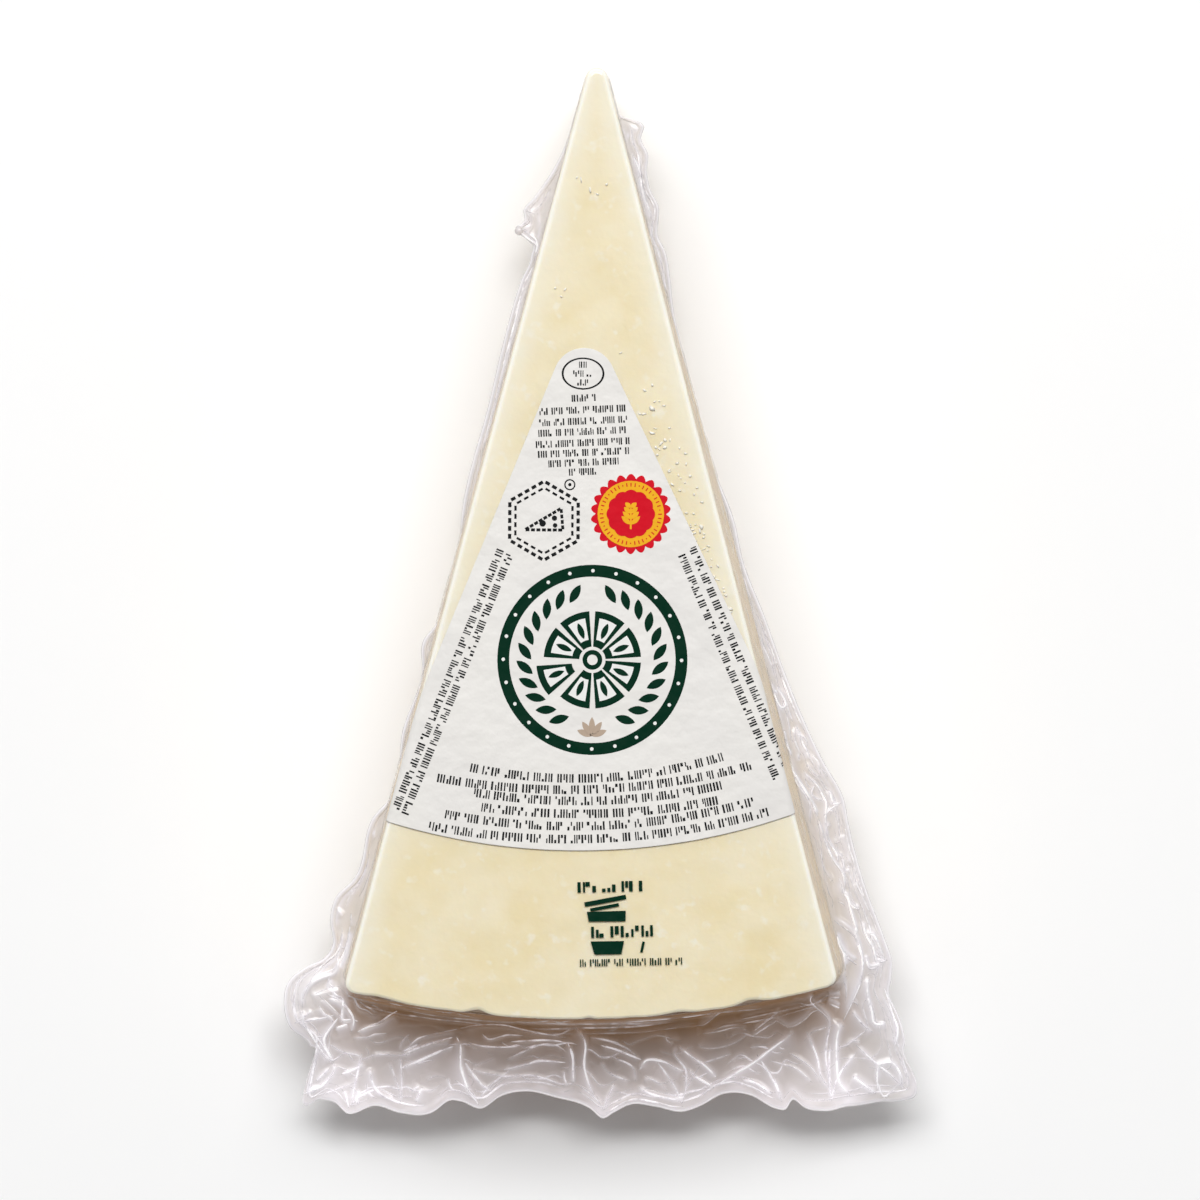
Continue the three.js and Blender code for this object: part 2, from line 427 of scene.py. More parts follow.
def strip(rings: int, around: int, first: int = 0) -> list[tuple[int, ...]]:
    """Quads between closed rings of points, each ring following the last.

    Args:
        rings: how many rings there are.
        around: how many points each ring has.
        first: index of the first ring's first point.

    Returns:
        The faces, as point indices, facing out when the rings run down the outside.
    """
    here = np.arange(around)
    after = (here + 1) % around
    faces = []
    for ring in range(rings - 1):
        upper = first + ring * around
        lower = upper + around
        faces.append(np.stack([upper + here, upper + after, lower + after, lower + here], 1))
    return [tuple(face) for face in np.concatenate(faces).tolist()]


def sheet(rows: int, columns: int) -> list[tuple[int, ...]]:
    """Quads over an open grid of points, facing up when rows run down the face.

    Args:
        rows: how many rows of points there are.
        columns: how many points a row has.

    Returns:
        The faces, as point indices.
    """
    here = (np.arange(rows - 1)[:, None] * columns + np.arange(columns - 1)).ravel()
    quads = np.stack([here, here + columns, here + columns + 1, here + 1], 1)
    return [tuple(face) for face in quads.tolist()]


@dataclass
class Piece:
    """One mesh of the object, from points and faces to a finished part of the frame."""

    name: str
    points: Array
    faces: list[tuple[int, ...]]
    attributes: dict[str, Array] = field(default_factory=dict)
    weld: bool = False
    smooth: bool = True
    flat_end: int = 0

    def build(self, material: bpy.types.Material, slot: Slot, replaces: str) -> bpy.types.Object:
        """Makes the object, dresses it and sets it in the frame.

        Args:
            material: the finish.
            slot: the record's slot that the finish answers to; not used.
            replaces: the CAD node that the piece stands for.

        Returns:
            The finished object.
        """
        mesh = bpy.data.meshes.new(self.name)
        mesh.from_pydata(self.points.tolist(), [], self.faces)
        for name, values in self.attributes.items():
            layer = mesh.attributes.new(name, "FLOAT", "POINT")
            layer.data.foreach_set("value", np.asarray(values, np.float32).ravel())
        round_faces = len(self.faces) - self.flat_end
        flags = [self.smooth] * round_faces + [False] * self.flat_end
        mesh.polygons.foreach_set("use_smooth", flags)
        mesh.materials.append(material)
        thing = bpy.data.objects.new(self.name, mesh)
        bpy.context.scene.collection.objects.link(thing)
        if self.weld:
            self._weld(mesh)
        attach(thing, BODY)
        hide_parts(replaces)
        LOG.info("%s: %d faces", self.name, len(mesh.polygons))
        return thing

    def _weld(self, mesh: bpy.types.Mesh) -> None:
        """Joins points that lie on each other.

        Args:
            mesh: what is cleaned.
        """
        work = bmesh.new()
        work.from_mesh(mesh)
        bmesh.ops.remove_doubles(work, verts=work.verts, dist=1e-7)
        bmesh.ops.dissolve_degenerate(work, edges=work.edges, dist=1e-8)
        work.to_mesh(mesh)
        work.free()
        mesh.update()


# ---------------------------------------------------------------------------------------------
# Shaders


class Graph:
    """The nodes of a material or a sky, with one method that adds any of them."""

    def __init__(self, owner: bpy.types.Material | bpy.types.World) -> None:
        """Empties the node tree.

        Args:
            owner: what the nodes belong to.
        """
        owner.use_nodes = True
        self.owner = owner
        self.tree = owner.node_tree
        self.tree.nodes.clear()

    def node(self, kind: str, settings: dict[str, Any], **sockets: Any) -> bpy.types.Node:
        """Adds a node.

        Args:
            kind: the node's type.
            settings: its own settings, which are set first.
            sockets: values or links of its inputs, by name with underscores for spaces.

        Returns:
            The node.
        """
        made = self.tree.nodes.new(kind)
        for name, value in settings.items():
            setattr(made, name, value)
        for name, value in sockets.items():
            self.plug(self._input(made, name), value)
        return made

    def plug(self, socket: bpy.types.NodeSocket, value: Any) -> None:
        """Sets an input to a value, or links it.

        Args:
            socket: the input.
            value: a plain value, a shade or another node's output.
        """
        if isinstance(value, Shade):
            value = value.socket
        if isinstance(value, bpy.types.NodeSocket):
            self.tree.links.new(value, socket)
        else:
            socket.default_value = value

    def _input(self, node: bpy.types.Node, name: str) -> bpy.types.NodeSocket:
        """Finds an input.

        Args:
            node: the node.
            name: the input's name, or in0, in1 and so on for its place.

        Returns:
            The input at that place, or the enabled input of that name.
        """
        if name.startswith("in") and name[2:].isdigit():
            return node.inputs[int(name[2:])]
        plain = name.replace("_", " ").lower()
        return next(s for s in node.inputs if s.name.lower() == plain and s.enabled)

    def place(self) -> bpy.types.NodeSocket:
        """The point's place in the object, in metres."""
        return self.node("ShaderNodeTexCoord", {}).outputs["Object"]

    def attribute(self, name: str) -> Shade:
        """A number that the mesh holds at each point."""
        made = self.node("ShaderNodeAttribute", {"attribute_name": name})
        return Shade(self, made.outputs["Fac"])

    def noise(self, scale: float, detail: float = 2.0) -> Shade:
        """Cloudy noise, 0 to 1, with scale clouds per metre and octaves of finer ones."""
        made = self.node(
            "ShaderNodeTexNoise", {}, Vector=self.place(), Scale=scale, Detail=detail
        )
        return Shade(self, made.outputs["Fac"])

    def mix(self, factor: Any, first: Any, second: Any) -> bpy.types.NodeSocket:
        """Blends two colours.

        Args:
            factor: share of the second colour.
            first: a colour or an output.
            second: a colour or an output.

        Returns:
            The blended colour.
        """
        colours = [(*c, 1.0) if isinstance(c, tuple) else c for c in (first, second)]
        made = self.node(
            "ShaderNodeMix", {"data_type": "RGBA"}, in0=factor, in6=colours[0], in7=colours[1]
        )
        return made.outputs[2]

    def bump(self, height: Any, strength: float, distance: float) -> bpy.types.NodeSocket:
        """A normal from a height, with the relief's depth in metres."""
        return self.node(
            "ShaderNodeBump", {}, Strength=strength, Distance=distance, Height=height
        ).outputs[0]

    def surface(self, **sockets: Any) -> bpy.types.Material:
        """Ends the tree in one principled surface.

        Args:
            sockets: values or links of the surface's inputs.

        Returns:
            The finished material.
        """
        made = self.node("ShaderNodeBsdfPrincipled", {}, **sockets)
        self.node("ShaderNodeOutputMaterial", {}, Surface=made.outputs[0])
        return self.owner


@dataclass(frozen=True)
class Shade:
    """A number that varies over a surface, with arithmetic that adds math nodes."""

    graph: Graph
    socket: bpy.types.NodeSocket

    def _math(self, operation: str, first: Any, second: Any, clamp: bool = False) -> Shade:
        """Adds one math node.

        Args:
            operation: what it works out.
            first: a number or a shade.
            second: a number or a shade.
            clamp: whether the result is kept between 0 and 1.

        Returns:
            The result.
        """
        made = self.graph.node(
            "ShaderNodeMath", {"operation": operation, "use_clamp": clamp}, in0=first, in1=second
        )
        return Shade(self.graph, made.outputs[0])

    def __add__(self, other: Any) -> Shade:
        """self + other."""
        return self._math("ADD", self, other)

    def __sub__(self, other: Any) -> Shade:
        """self - other."""
        return self._math("SUBTRACT", self, other)

    def __rsub__(self, other: Any) -> Shade:
        """other - self."""
        return self._math("SUBTRACT", other, self)

    def __mul__(self, other: Any) -> Shade:
        """self * other."""
        return self._math("MULTIPLY", self, other)

    def __truediv__(self, other: Any) -> Shade:
        """self / other."""
        return self._math("DIVIDE", self, other)

    def __rtruediv__(self, other: Any) -> Shade:
        """other / self."""
        return self._math("DIVIDE", other, self)

    __radd__ = __add__
    __rmul__ = __mul__

    def clamp(self) -> Shade:
        """Kept between 0 and 1."""
        return self._math("ADD", self, 0.0, clamp=True)

    def between(self, low: float, high: float) -> Shade:
        """Rises evenly from 0 at low to 1 at high."""
        return ((self - low) / (high - low)).clamp()


@dataclass(frozen=True)
class CheeseFinish:
    """Cut cheese: ivory paste with paler and yellower patches and a browner rind, with a painted
    highlight and sheen along the face's edges and painted shade on the walls.
    """

    paste: tuple = (0.86, 0.765, 0.53)
    warm: tuple = (0.83, 0.715, 0.44)
    # pale is both the paler flecks' colour and the painted sheen along the edges
    pale: tuple = (0.88, 0.84, 0.71)
    # painted highlight colour, laid on the face's rounded edge
    line: tuple = (0.97, 0.95, 0.86)
    # painted shade colour of the walls, which are cut paste like the face
    wall: tuple = (0.79, 0.66, 0.49)
    rind: tuple = (0.36, 0.24, 0.14)

    def make(self) -> bpy.types.Material:
        """Builds the material.

        Returns:
            The finished material.
        """
        graph = Graph(bpy.data.materials.new("cheese_paste"))
        patches = graph.noise(170.0, 4.0).between(0.36, 0.66)
        clouds = graph.noise(60.0, 3.0).between(0.4, 0.65)
        fine = graph.noise(700.0, 2.0)
        colour = graph.mix(patches, self.paste, self.warm)
        flecks = graph.noise(520.0, 2.0).between(0.6, 0.74)
        colour = graph.mix(clouds * 0.25 + flecks * 0.6, colour, self.pale)
        # painted sheen: a paler band along the face's edges, where the film rounds over them
        edge = graph.attribute("pale") * (0.55 + patches * 0.45)
        colour = graph.mix(edge, colour, self.pale)
        # painted highlight: a pale line where the rounded edge tilts towards the side lamps
        colour = graph.mix(graph.attribute("line"), colour, self.line)
        # painted shade: the walls take a darker tan than the face
        wall = graph.attribute("wall")
        colour = graph.mix(wall, colour, self.wall)
        colour = graph.mix(graph.attribute("rind"), colour, self.rind)
        relief = graph.noise(160.0, 3.0) + fine * 0.25
        return graph.surface(
            Base_Color=colour,
            Roughness=0.42 + fine * 0.12,
            Normal=graph.bump(relief, 0.35, 0.0006),
            Specular_IOR_Level=0.1,
            Coat_Weight=1 - wall,
            Coat_Roughness=0.1,
            Coat_IOR=1.6,
            Subsurface_Weight=0.15,
            Subsurface_Radius=(0.004, 0.003, 0.0015),
            Subsurface_Scale=1.0,
        )


@dataclass(frozen=True)
class FilmFinish:
    """Loose film: grey-lilac, whiter on its creases (milky folds and painted highlight), brown near
    the rind (the rind seen through and painted shade), beige by the side walls (painted bounce light
    from the cheese), with a painted glow in the wedge's shade.
    """

    loose: tuple = (0.80, 0.755, 0.74)
    fold: tuple = (0.88, 0.85, 0.90)
    # crest: the white of the creases' cores, painted highlight
    crest: tuple = (0.99, 0.98, 1.0)
    # brown near the rind: the rind seen through, with painted shade
    rind: tuple = (0.44, 0.27, 0.15)
    # beige beside the side walls: painted light bounced from the cheese
    paste: tuple = (0.84, 0.74, 0.62)
    dark: tuple = (0.0, 0.0, 0.0)
    # painted glow: the film shines by itself, brownish near the rind
    near_painted_glow: tuple = (0.062, 0.028, 0.006)
    far_painted_glow: tuple = (0.215, 0.2, 0.205)

    def make(self) -> bpy.types.Material:
        """Builds the material.

        Returns:
            The finished material.
        """
        graph = Graph(bpy.data.materials.new("loose_film"))
        crest = graph.attribute("crest")
        rind = graph.attribute("rind")
        paste = graph.attribute("paste")
        haze = graph.noise(150.0, 3.0).between(0.38, 0.66)
        patchy = paste * (0.6 + haze * 0.5)
        colour = graph.mix(haze * 0.3, self.loose, self.fold)
        # painted bounce light: the cheese's beige laid on the film beside the side walls
        colour = graph.mix(patchy, colour, self.paste)
        # brown near the rind, partly the rind seen through, partly painted shade
        colour = graph.mix(rind, colour, self.rind)
        # whiter on the creases: partly milky folded film, partly painted highlight along their crests
        colour = graph.mix(crest.between(0.05, 0.6), colour, self.fold)
        colour = graph.mix(crest.between(0.6, 1.0), colour, self.crest)
        # painted light: the film glows where it lies in the wedge's shade, and is more opaque there
        painted_glow = graph.mix(rind * 1.3, self.far_painted_glow, self.near_painted_glow)
        shaded = graph.attribute("shaded")
        strength = shaded * (0.6 + haze * 0.35 + crest * 0.8)
        return graph.surface(
            Base_Color=colour,
            Roughness=0.2 + haze * 0.08,
            IOR=1.6,
            Specular_IOR_Level=0.6,
            Alpha=(0.45 + shaded * 0.15 + (rind + paste) * 0.2 + crest * 0.35).clamp(),
            Emission_Color=graph.mix(strength * 0.65, self.dark, painted_glow),
            Emission_Strength=1.5,
            Normal=graph.bump(graph.noise(260.0, 1.0), 0.1, 0.0003),
        )


@dataclass(frozen=True)
class RidgeFinish:
    """The sharp crest of a crease as a painted highlight line, which also glows: painted light."""

    highlight_white: tuple = (1.0, 0.99, 1.0)
    soft: tuple = (0.88, 0.85, 0.90)
    dark: tuple = (0.0, 0.0, 0.0)
    painted_glow: tuple = (0.5, 0.49, 0.51)

    def make(self) -> bpy.types.Material:
        """Builds the material.

        Returns:
            The finished material.
        """
        graph = Graph(bpy.data.materials.new("film_ridge_highlight"))
        lit = graph.attribute("lit")
        broken = graph.noise(420.0, 3.0).between(0.36, 0.6)
        lit = lit * (0.4 + broken * 0.8)
        # painted glow, stronger where the bead lies in the wedge's shade
        glowing = (graph.attribute("shaded") * 0.65 + 0.35) * lit
        return graph.surface(
            Base_Color=graph.mix(lit, self.soft, self.highlight_white),
            Roughness=0.2 + broken * 0.1,
            IOR=1.6,
            Alpha=(lit * 1.15 - 0.05).clamp(),
            Emission_Color=graph.mix(glowing, self.dark, self.painted_glow),
            Emission_Strength=1.0,
            Normal=graph.bump(broken, 0.1, 0.0001),
        )


@dataclass(frozen=True)
class CoverFinish:
    """The film drawn tight over the cheese, nearly unseen but for its gloss."""

    tint: tuple = (0.95, 0.92, 0.89)

    def make(self) -> bpy.types.Material:
        """Builds the material.

        Returns:
            The finished material.
        """
        graph = Graph(bpy.data.materials.new("tight_film"))
        relief = graph.noise(110.0, 3.0)
        gathers = graph.attribute("gathers")
        return graph.surface(
            Base_Color=(*self.tint, 1.0),
            Roughness=0.14 + relief * 0.06,
            IOR=1.8,
            Specular_IOR_Level=1.0,
            Alpha=(0.05 + gathers * 0.3).clamp(),
            Normal=graph.bump(relief, 0.3, 0.0006),
        )


@dataclass(frozen=True)
class SpeckFinish:
    """Dull bubbles under film, painted pale: the whiteness stands for light reflected by the film over
    them.
    """

    base: tuple = (0.97, 0.93, 0.8)
    pale: tuple = (1.0, 0.99, 0.94)

    def make(self) -> bpy.types.Material:
        """Builds the material.

        Returns:
            The finished material.
        """
        graph = Graph(bpy.data.materials.new("air_bubble"))
        haze = graph.noise(900.0, 2.0)
        # painted reflection: a pale base colour in place of the film's glint over each bubble
        return graph.surface(
            Base_Color=graph.mix(haze, self.base, self.pale),
            Roughness=0.5 + haze * 0.2,
            Specular_IOR_Level=0.1,
            Alpha=(0.55 + haze * 0.6).clamp(),
            Normal=graph.bump(haze, 0.1, 0.00005),
        )


@dataclass(frozen=True)
class PaperFinish:
    """White label stock, faintly embossed by what it is stuck to."""

    base: tuple = (0.785, 0.765, 0.73)
    dull: tuple = (0.755, 0.735, 0.71)

    def make(self) -> bpy.types.Material:
        """Builds the material.

        Returns:
            The finished material.
        """
        graph = Graph(bpy.data.materials.new("label_stock"))
        patches = graph.noise(60.0, 3.0).between(0.35, 0.7)
        relief = graph.noise(300.0, 3.0) + graph.noise(90.0, 1.0) * 2.0
        return graph.surface(
            Base_Color=graph.mix(patches, self.base, self.dull),
            Roughness=0.4 + patches * 0.1,
            Specular_IOR_Level=0.25,
            Normal=graph.bump(relief, 0.6, 0.0005),
        )


@dataclass(frozen=True)
class InkFinish:
    """Printing ink of one colour, a little worn."""

    name: str
    colour: tuple
    fading: float = 0.008
    worn_grey: float = 0.5

    def make(self) -> bpy.types.Material:
        """Builds the material.

        Returns:
            The finished material.
        """
        graph = Graph(bpy.data.materials.new(self.name))
        wear = graph.noise(900.0, 3.0).between(0.3, 0.9)
        faded = tuple(lerp(c, self.worn_grey, self.fading) for c in self.colour)
        return graph.surface(
            Base_Color=graph.mix(wear, self.colour, faded),
            Roughness=0.45 + wear * 0.15,
            Specular_IOR_Level=0.03,
            Normal=graph.bump(graph.noise(300.0, 3.0), 0.6, 0.0005),
        )


# ---------------------------------------------------------------------------------------------
# The cheese and its film


@dataclass(frozen=True)
class Chip:
    """A chipped place on the rind's edge, in degrees from the middle line."""

    at: float
    depth: float
    half: float


@dataclass
class Body:
    """A closed skin round the wedge: face, rounded edges, swelling walls and base."""

    wedge: Wedge
    inset: float = 0.0
    cut: Sampling = field(default_factory=lambda: Sampling(28, 150, 18, 150))
    wall_rings: int = 26
    face_rings: int = 34
    edge_rings: int = 11
    straight_wall: float = 3.0
    rind_crispness: float = 0.5
    face_middle: float = 118.0
    ring_crowding: float = 0.8
    base_coarseness: int = 4
    crumble: float = 0.25
    crumble_length: float = 4.0
    chips: tuple[Chip, ...] = (
        Chip(9.3, 0.9, 0.7),
        Chip(5.1, 0.5, 0.8),
        Chip(-0.1, 0.35, 0.3),
        Chip(-6.6, 1.0, 0.6),
        Chip(-12.4, 0.5, 0.9),
    )
    noise: Noise = field(default_factory=lambda: Noise(11))

    def __post_init__(self) -> None:
        """Cuts the outline up."""
        self.at = self.wedge.sample(self.cut)

    def swell(self, z: Array) -> Array:
        """How far the wall stands out at a height.

        Args:
            z: heights, with room for the stations along the last axis.

        Returns:
            The swell, stations along the last axis.
        """
        wedge = self.wedge
        top = wedge.thickness - wedge.edge_radius - self.straight_wall
        above = smoothstep(top - z, 0.0, top - wedge.skirt_z)
        below = smoothstep(z, wedge.edge_radius, wedge.skirt_z)
        return self.at.swell * np.where(z > wedge.skirt_z, above, below)

    def chipped(self) -> Array:
        """How far the face's edge is broken back at each station.

        Returns:
            The distances, station by station.
        """
        degrees = np.degrees(np.arctan2(self.at.x, self.at.r))
        along = self.at.walk / self.crumble_length
        depth = self.crumble * np.abs(self.noise.value(along, 0 * along))
        for chip in self.chips:
            depth = depth + chip.depth * np.exp(-(((degrees - chip.at) / chip.half) ** 2))
        return depth * smoothstep(self.at.rind, 0.3, 1.0)

    def rings(self) -> tuple[list[Array], list[Array]]:
        """The rings from the face's edge down to the base's edge.

        Returns:
            The distances outside the outline, and the heights, ring by ring.
        """
        wedge = self.wedge
        edge = wedge.edge_radius * lerp(1.0, self.rind_crispness, self.at.rind)
        chip = self.chipped()
        out, heights = [], []
        for i in range(self.edge_rings):
            turn = i / (self.edge_rings - 1) * math.pi / 2
            fade = 1 - 0.35 * math.sin(turn)
            out.append(edge * (math.sin(turn) - 1) - chip * fade)
            heights.append(wedge.thickness - edge * (1 - math.cos(turn)))
        low, high = edge, wedge.thickness - edge
        for i in range(1, self.wall_rings + 1):
            z = lerp(high, low, i / self.wall_rings)
            fade = 0.65 * (1 - smoothstep(high - z, 0.0, 9.0))
            out.append(self.swell(z) - chip * fade)
            heights.append(z)
        for i in range(1, self.edge_rings):
            turn = i / (self.edge_rings - 1) * math.pi / 2
            out.append(edge * (math.cos(turn) - 1))
            heights.append(edge * (1 - math.sin(turn)))
        return out, heights

    def shape(self) -> tuple[Array, Array, Array, list[tuple[int, ...]]]:
        """Builds the skin.

        Returns:
            The plan coordinates x and r and the heights z, ring by ring, and the faces.
        """
        out, heights = self.rings()
        x_rows, r_rows, z_rows = [], [], []
        inward = 1 - np.linspace(0.0, 1.0, self.face_rings + 1) ** self.ring_crowding
        x_edge, r_edge = self.at.outward(out[0] - self.inset)
        middle = np.minimum(r_edge, self.face_middle)
        for share in inward[:-1]:
            x_rows.append(lerp(x_edge, 0.0, share))
            r_rows.append(lerp(r_edge, middle, share))
            z_rows.append(heights[0] - self.inset)
        for distance, z in zip(out, heights):
            x, r = self.at.outward(distance - self.inset)
            x_rows.append(x)
            r_rows.append(r)
            z_rows.append(np.clip(z, self.inset, self.wedge.thickness - self.inset))
        x_edge, r_edge = self.at.outward(out[-1] - self.inset)
        for share in inward[:-1][::-1][:: self.base_coarseness]:
            x_rows.append(lerp(x_edge, 0.0, share))
            r_rows.append(lerp(r_edge, np.minimum(r_edge, self.face_middle), share))
            z_rows.append(heights[-1] + self.inset)
        x, r, z = (np.stack(rows) for rows in (x_rows, r_rows, z_rows))
        r = self.wedge.skewed(x, r)
        faces = strip(len(x_rows), x.shape[1])
        return x, r, z, faces


@dataclass
class Cheese(Body):
    """The wedge of cheese itself, with its uneven cut face and its rind."""

    inset: float = 0.06
    undulation: float = 0.12
    pits: float = 0.08
    sheen_band: float = 3.0
    highlight_tilt: float = 42.0
    highlight_spread: float = 16.0

    def build(self) -> bpy.types.Object:
        """Makes the cheese.

        Returns:
            The finished object.
        """
        x, r, z, faces = self.shape()
        wedge = self.wedge
        top = smoothstep(z, wedge.thickness - 1.0, wedge.thickness - 0.2)
        waves = self.noise.value(x / 11, r / 11) + 0.5 * self.noise.value(x / 4.3 + 9, r / 4.3)
        z = z + top * (self.undulation * (waves - 0.5) - self.pits)
        # painted sheen in a band along the straight edges and, weaker, along the rind
        half = np.abs(x) * math.cos(wedge.half_angle) - r * math.sin(wedge.half_angle)
        edge = np.exp(-((half / self.sheen_band) ** 2))
        edge = np.maximum(edge, 0.3 * np.exp(-(((wedge.wheel_radius - r) / self.sheen_band) ** 2)))
        # the wall mask carries the walls' painted shade and the rind's own colour
        wall = 1 - smoothstep(z, wedge.thickness - 1.3, wedge.thickness - 0.6)
        rind = np.broadcast_to(self.at.rind, x.shape) * wall
        # painted highlight on the rounded edge at one tilt, weaker on the rind's side
        ring = np.arange(len(x))[:, None] - self.face_rings
        tilt = np.clip(90.0 * ring / (self.edge_rings - 1), 0.0, 90.0) + 0 * x
        line = np.exp(-(((tilt - self.highlight_tilt) / self.highlight_spread) ** 2)) * (1 - 0.8 * self.at.rind)
        piece = Piece(
            "cheese",
            wedge.world(x, r, z),
            faces,
            {"pale": np.clip(edge, 0, 1), "line": line, "rind": rind, "wall": wall},
            weld=True,
        )
        return piece.build(CheeseFinish().make(), Slot.CHEESE, "vacuum_pack")


@dataclass
class Cover(Body):
    """The film drawn tight over the cheese, gathered into fine level pleats on the walls."""

    pleat_height: float = 0.25
    pleat_length: float = 12.0
    pleat_pitch: float = 3.8
    pleat_width: float = 0.12

    def build(self) -> bpy.types.Object:
        """Makes the tight film.

        Returns:
            The finished object.
        """
        x, r, z, faces = self.shape()
        wedge = self.wedge
        wall = smoothstep(wedge.thickness - z, 2.0, 12.0) * smoothstep(z, 1.0, 4.0)
        walk = np.broadcast_to(self.at.walk, x.shape)
        along, down = walk / self.pleat_length, z / self.pleat_pitch
        pleats = self.noise.creases(along, down, self.pleat_width) * wall
        shift = self.pleat_height * pleats
        piece = Piece(
            "film_tight",
            wedge.world(x + self.at.nx * shift, r + self.at.nr * shift, z),
            faces,
            {"gathers": pleats},
            weld=True,
        )
        return piece.build(CoverFinish().make(), Slot.FILM, "vacuum_pack")


@dataclass(frozen=True)
class Crease:
    """One folded ridge in loose film, through plan points."""

    points: tuple[Pair, ...]
    width: float = 0.5
    height: float = 0.6
    shine: float = 1.0
    lean: float = 1.0
    soft_side: float = 3.0
    blunt: float = 0.15
    relief: float = 0.7
    span: float = 0.65

    def curve(self) -> Array:
        """A smooth line through the points.

        Returns:
            The line's points, one row each.
        """
        knots = np.array(self.points, float)
        gap = np.linalg.norm(np.diff(knots, axis=0), axis=1).max()
        steps = max(1, math.ceil(gap / self.span))
        ends = np.vstack([2 * knots[0] - knots[1], knots, 2 * knots[-1] - knots[-2]])
        t = np.linspace(0, 1, steps, endpoint=False)[:, None]
        spans = []
        for a, b, c, d in zip(ends, ends[1:], ends[2:], ends[3:]):
            cubic = (3 * b - a - 3 * c + d) * t**3 + (2 * a - 5 * b + 4 * c - d) * t**2
            spans.append(0.5 * (cubic + (c - a) * t + 2 * b))
        return np.vstack([*spans, knots[-1:]])

    def press(self, x: Array, r: Array, height: Array, crest: Array) -> None:
        """Raises the ridge in a relief.

        Args:
            x: plan points.
            r: plan points.
            height: the relief's height at each point, which is changed.
            crest: how far each point is whitened on a crest, partly as painted highlight, which is
                changed.
        """
        line = self.curve()
        room = 8 * self.width
        near = (x > line[:, 0].min() - room) & (x < line[:, 0].max() + room)
        near &= (r > line[:, 1].min() - room) & (r < line[:, 1].max() + room)
        points = np.stack([x[near], r[near]], axis=1)
        best = np.full(len(points), 1e9)
        place = np.zeros(len(points))
        side = np.zeros(len(points))
        for i, (a, b) in enumerate(zip(line, line[1:])):
            span = b - a
            away = points - a
            t = np.clip((away @ span) / (span @ span), 0, 1)
            distance = np.linalg.norm(away - t[:, None] * span, axis=1)
            closer = distance < best
            best[closer] = distance[closer]
            place[closer] = ((i + t) / (len(line) - 1))[closer]
            side[closer] = (span[0] * away[:, 1] - span[1] * away[:, 0])[closer]
        taper = smoothstep(place, -0.02, 0.14) * (1 - smoothstep(place, 0.86, 1.02))
        width = self.width * np.where(side * self.lean > 0, self.soft_side, 1.0)
        slope = np.exp(-(np.hypot(best, self.blunt) - self.blunt) / width)
        core = np.exp(-((best / (0.8 * self.width)) ** 2))
        tall = self.relief * self.height * slope * taper
        height[near] = np.maximum(height[near], tall)
        # painted highlight along the crest, softer on one side
        lit = self.shine * (0.7 * slope + 0.15 * core) * taper
        crest[near] = np.maximum(crest[near], lit)


@dataclass(frozen=True)
class Sketch:
    """Creases read off an enlarged part of the picture, in that part's own dots."""

    corner: Pair
    zoom: float
    rows: tuple[tuple[tuple[Pair, ...], float, float, float], ...]

    def in_plan(self, eye: Eye, sunk: float) -> list[Crease]:
        """Turns the rows of points, width, height and shine into creases.

        Args:
            eye: how the picture lies on the plan.
            sunk: how far the creases lie below the wedge's face.

        Returns:
            The creases, in plan millimetres.
        """
        (left, top), zoom = self.corner, self.zoom
        made = []
        for points, width, height, shine in self.rows:
            plan = tuple(eye.plan(left + x / zoom, top + y / zoom, sunk) for x, y in points)
            made.append(Crease(plan, width, height, shine))
        return made


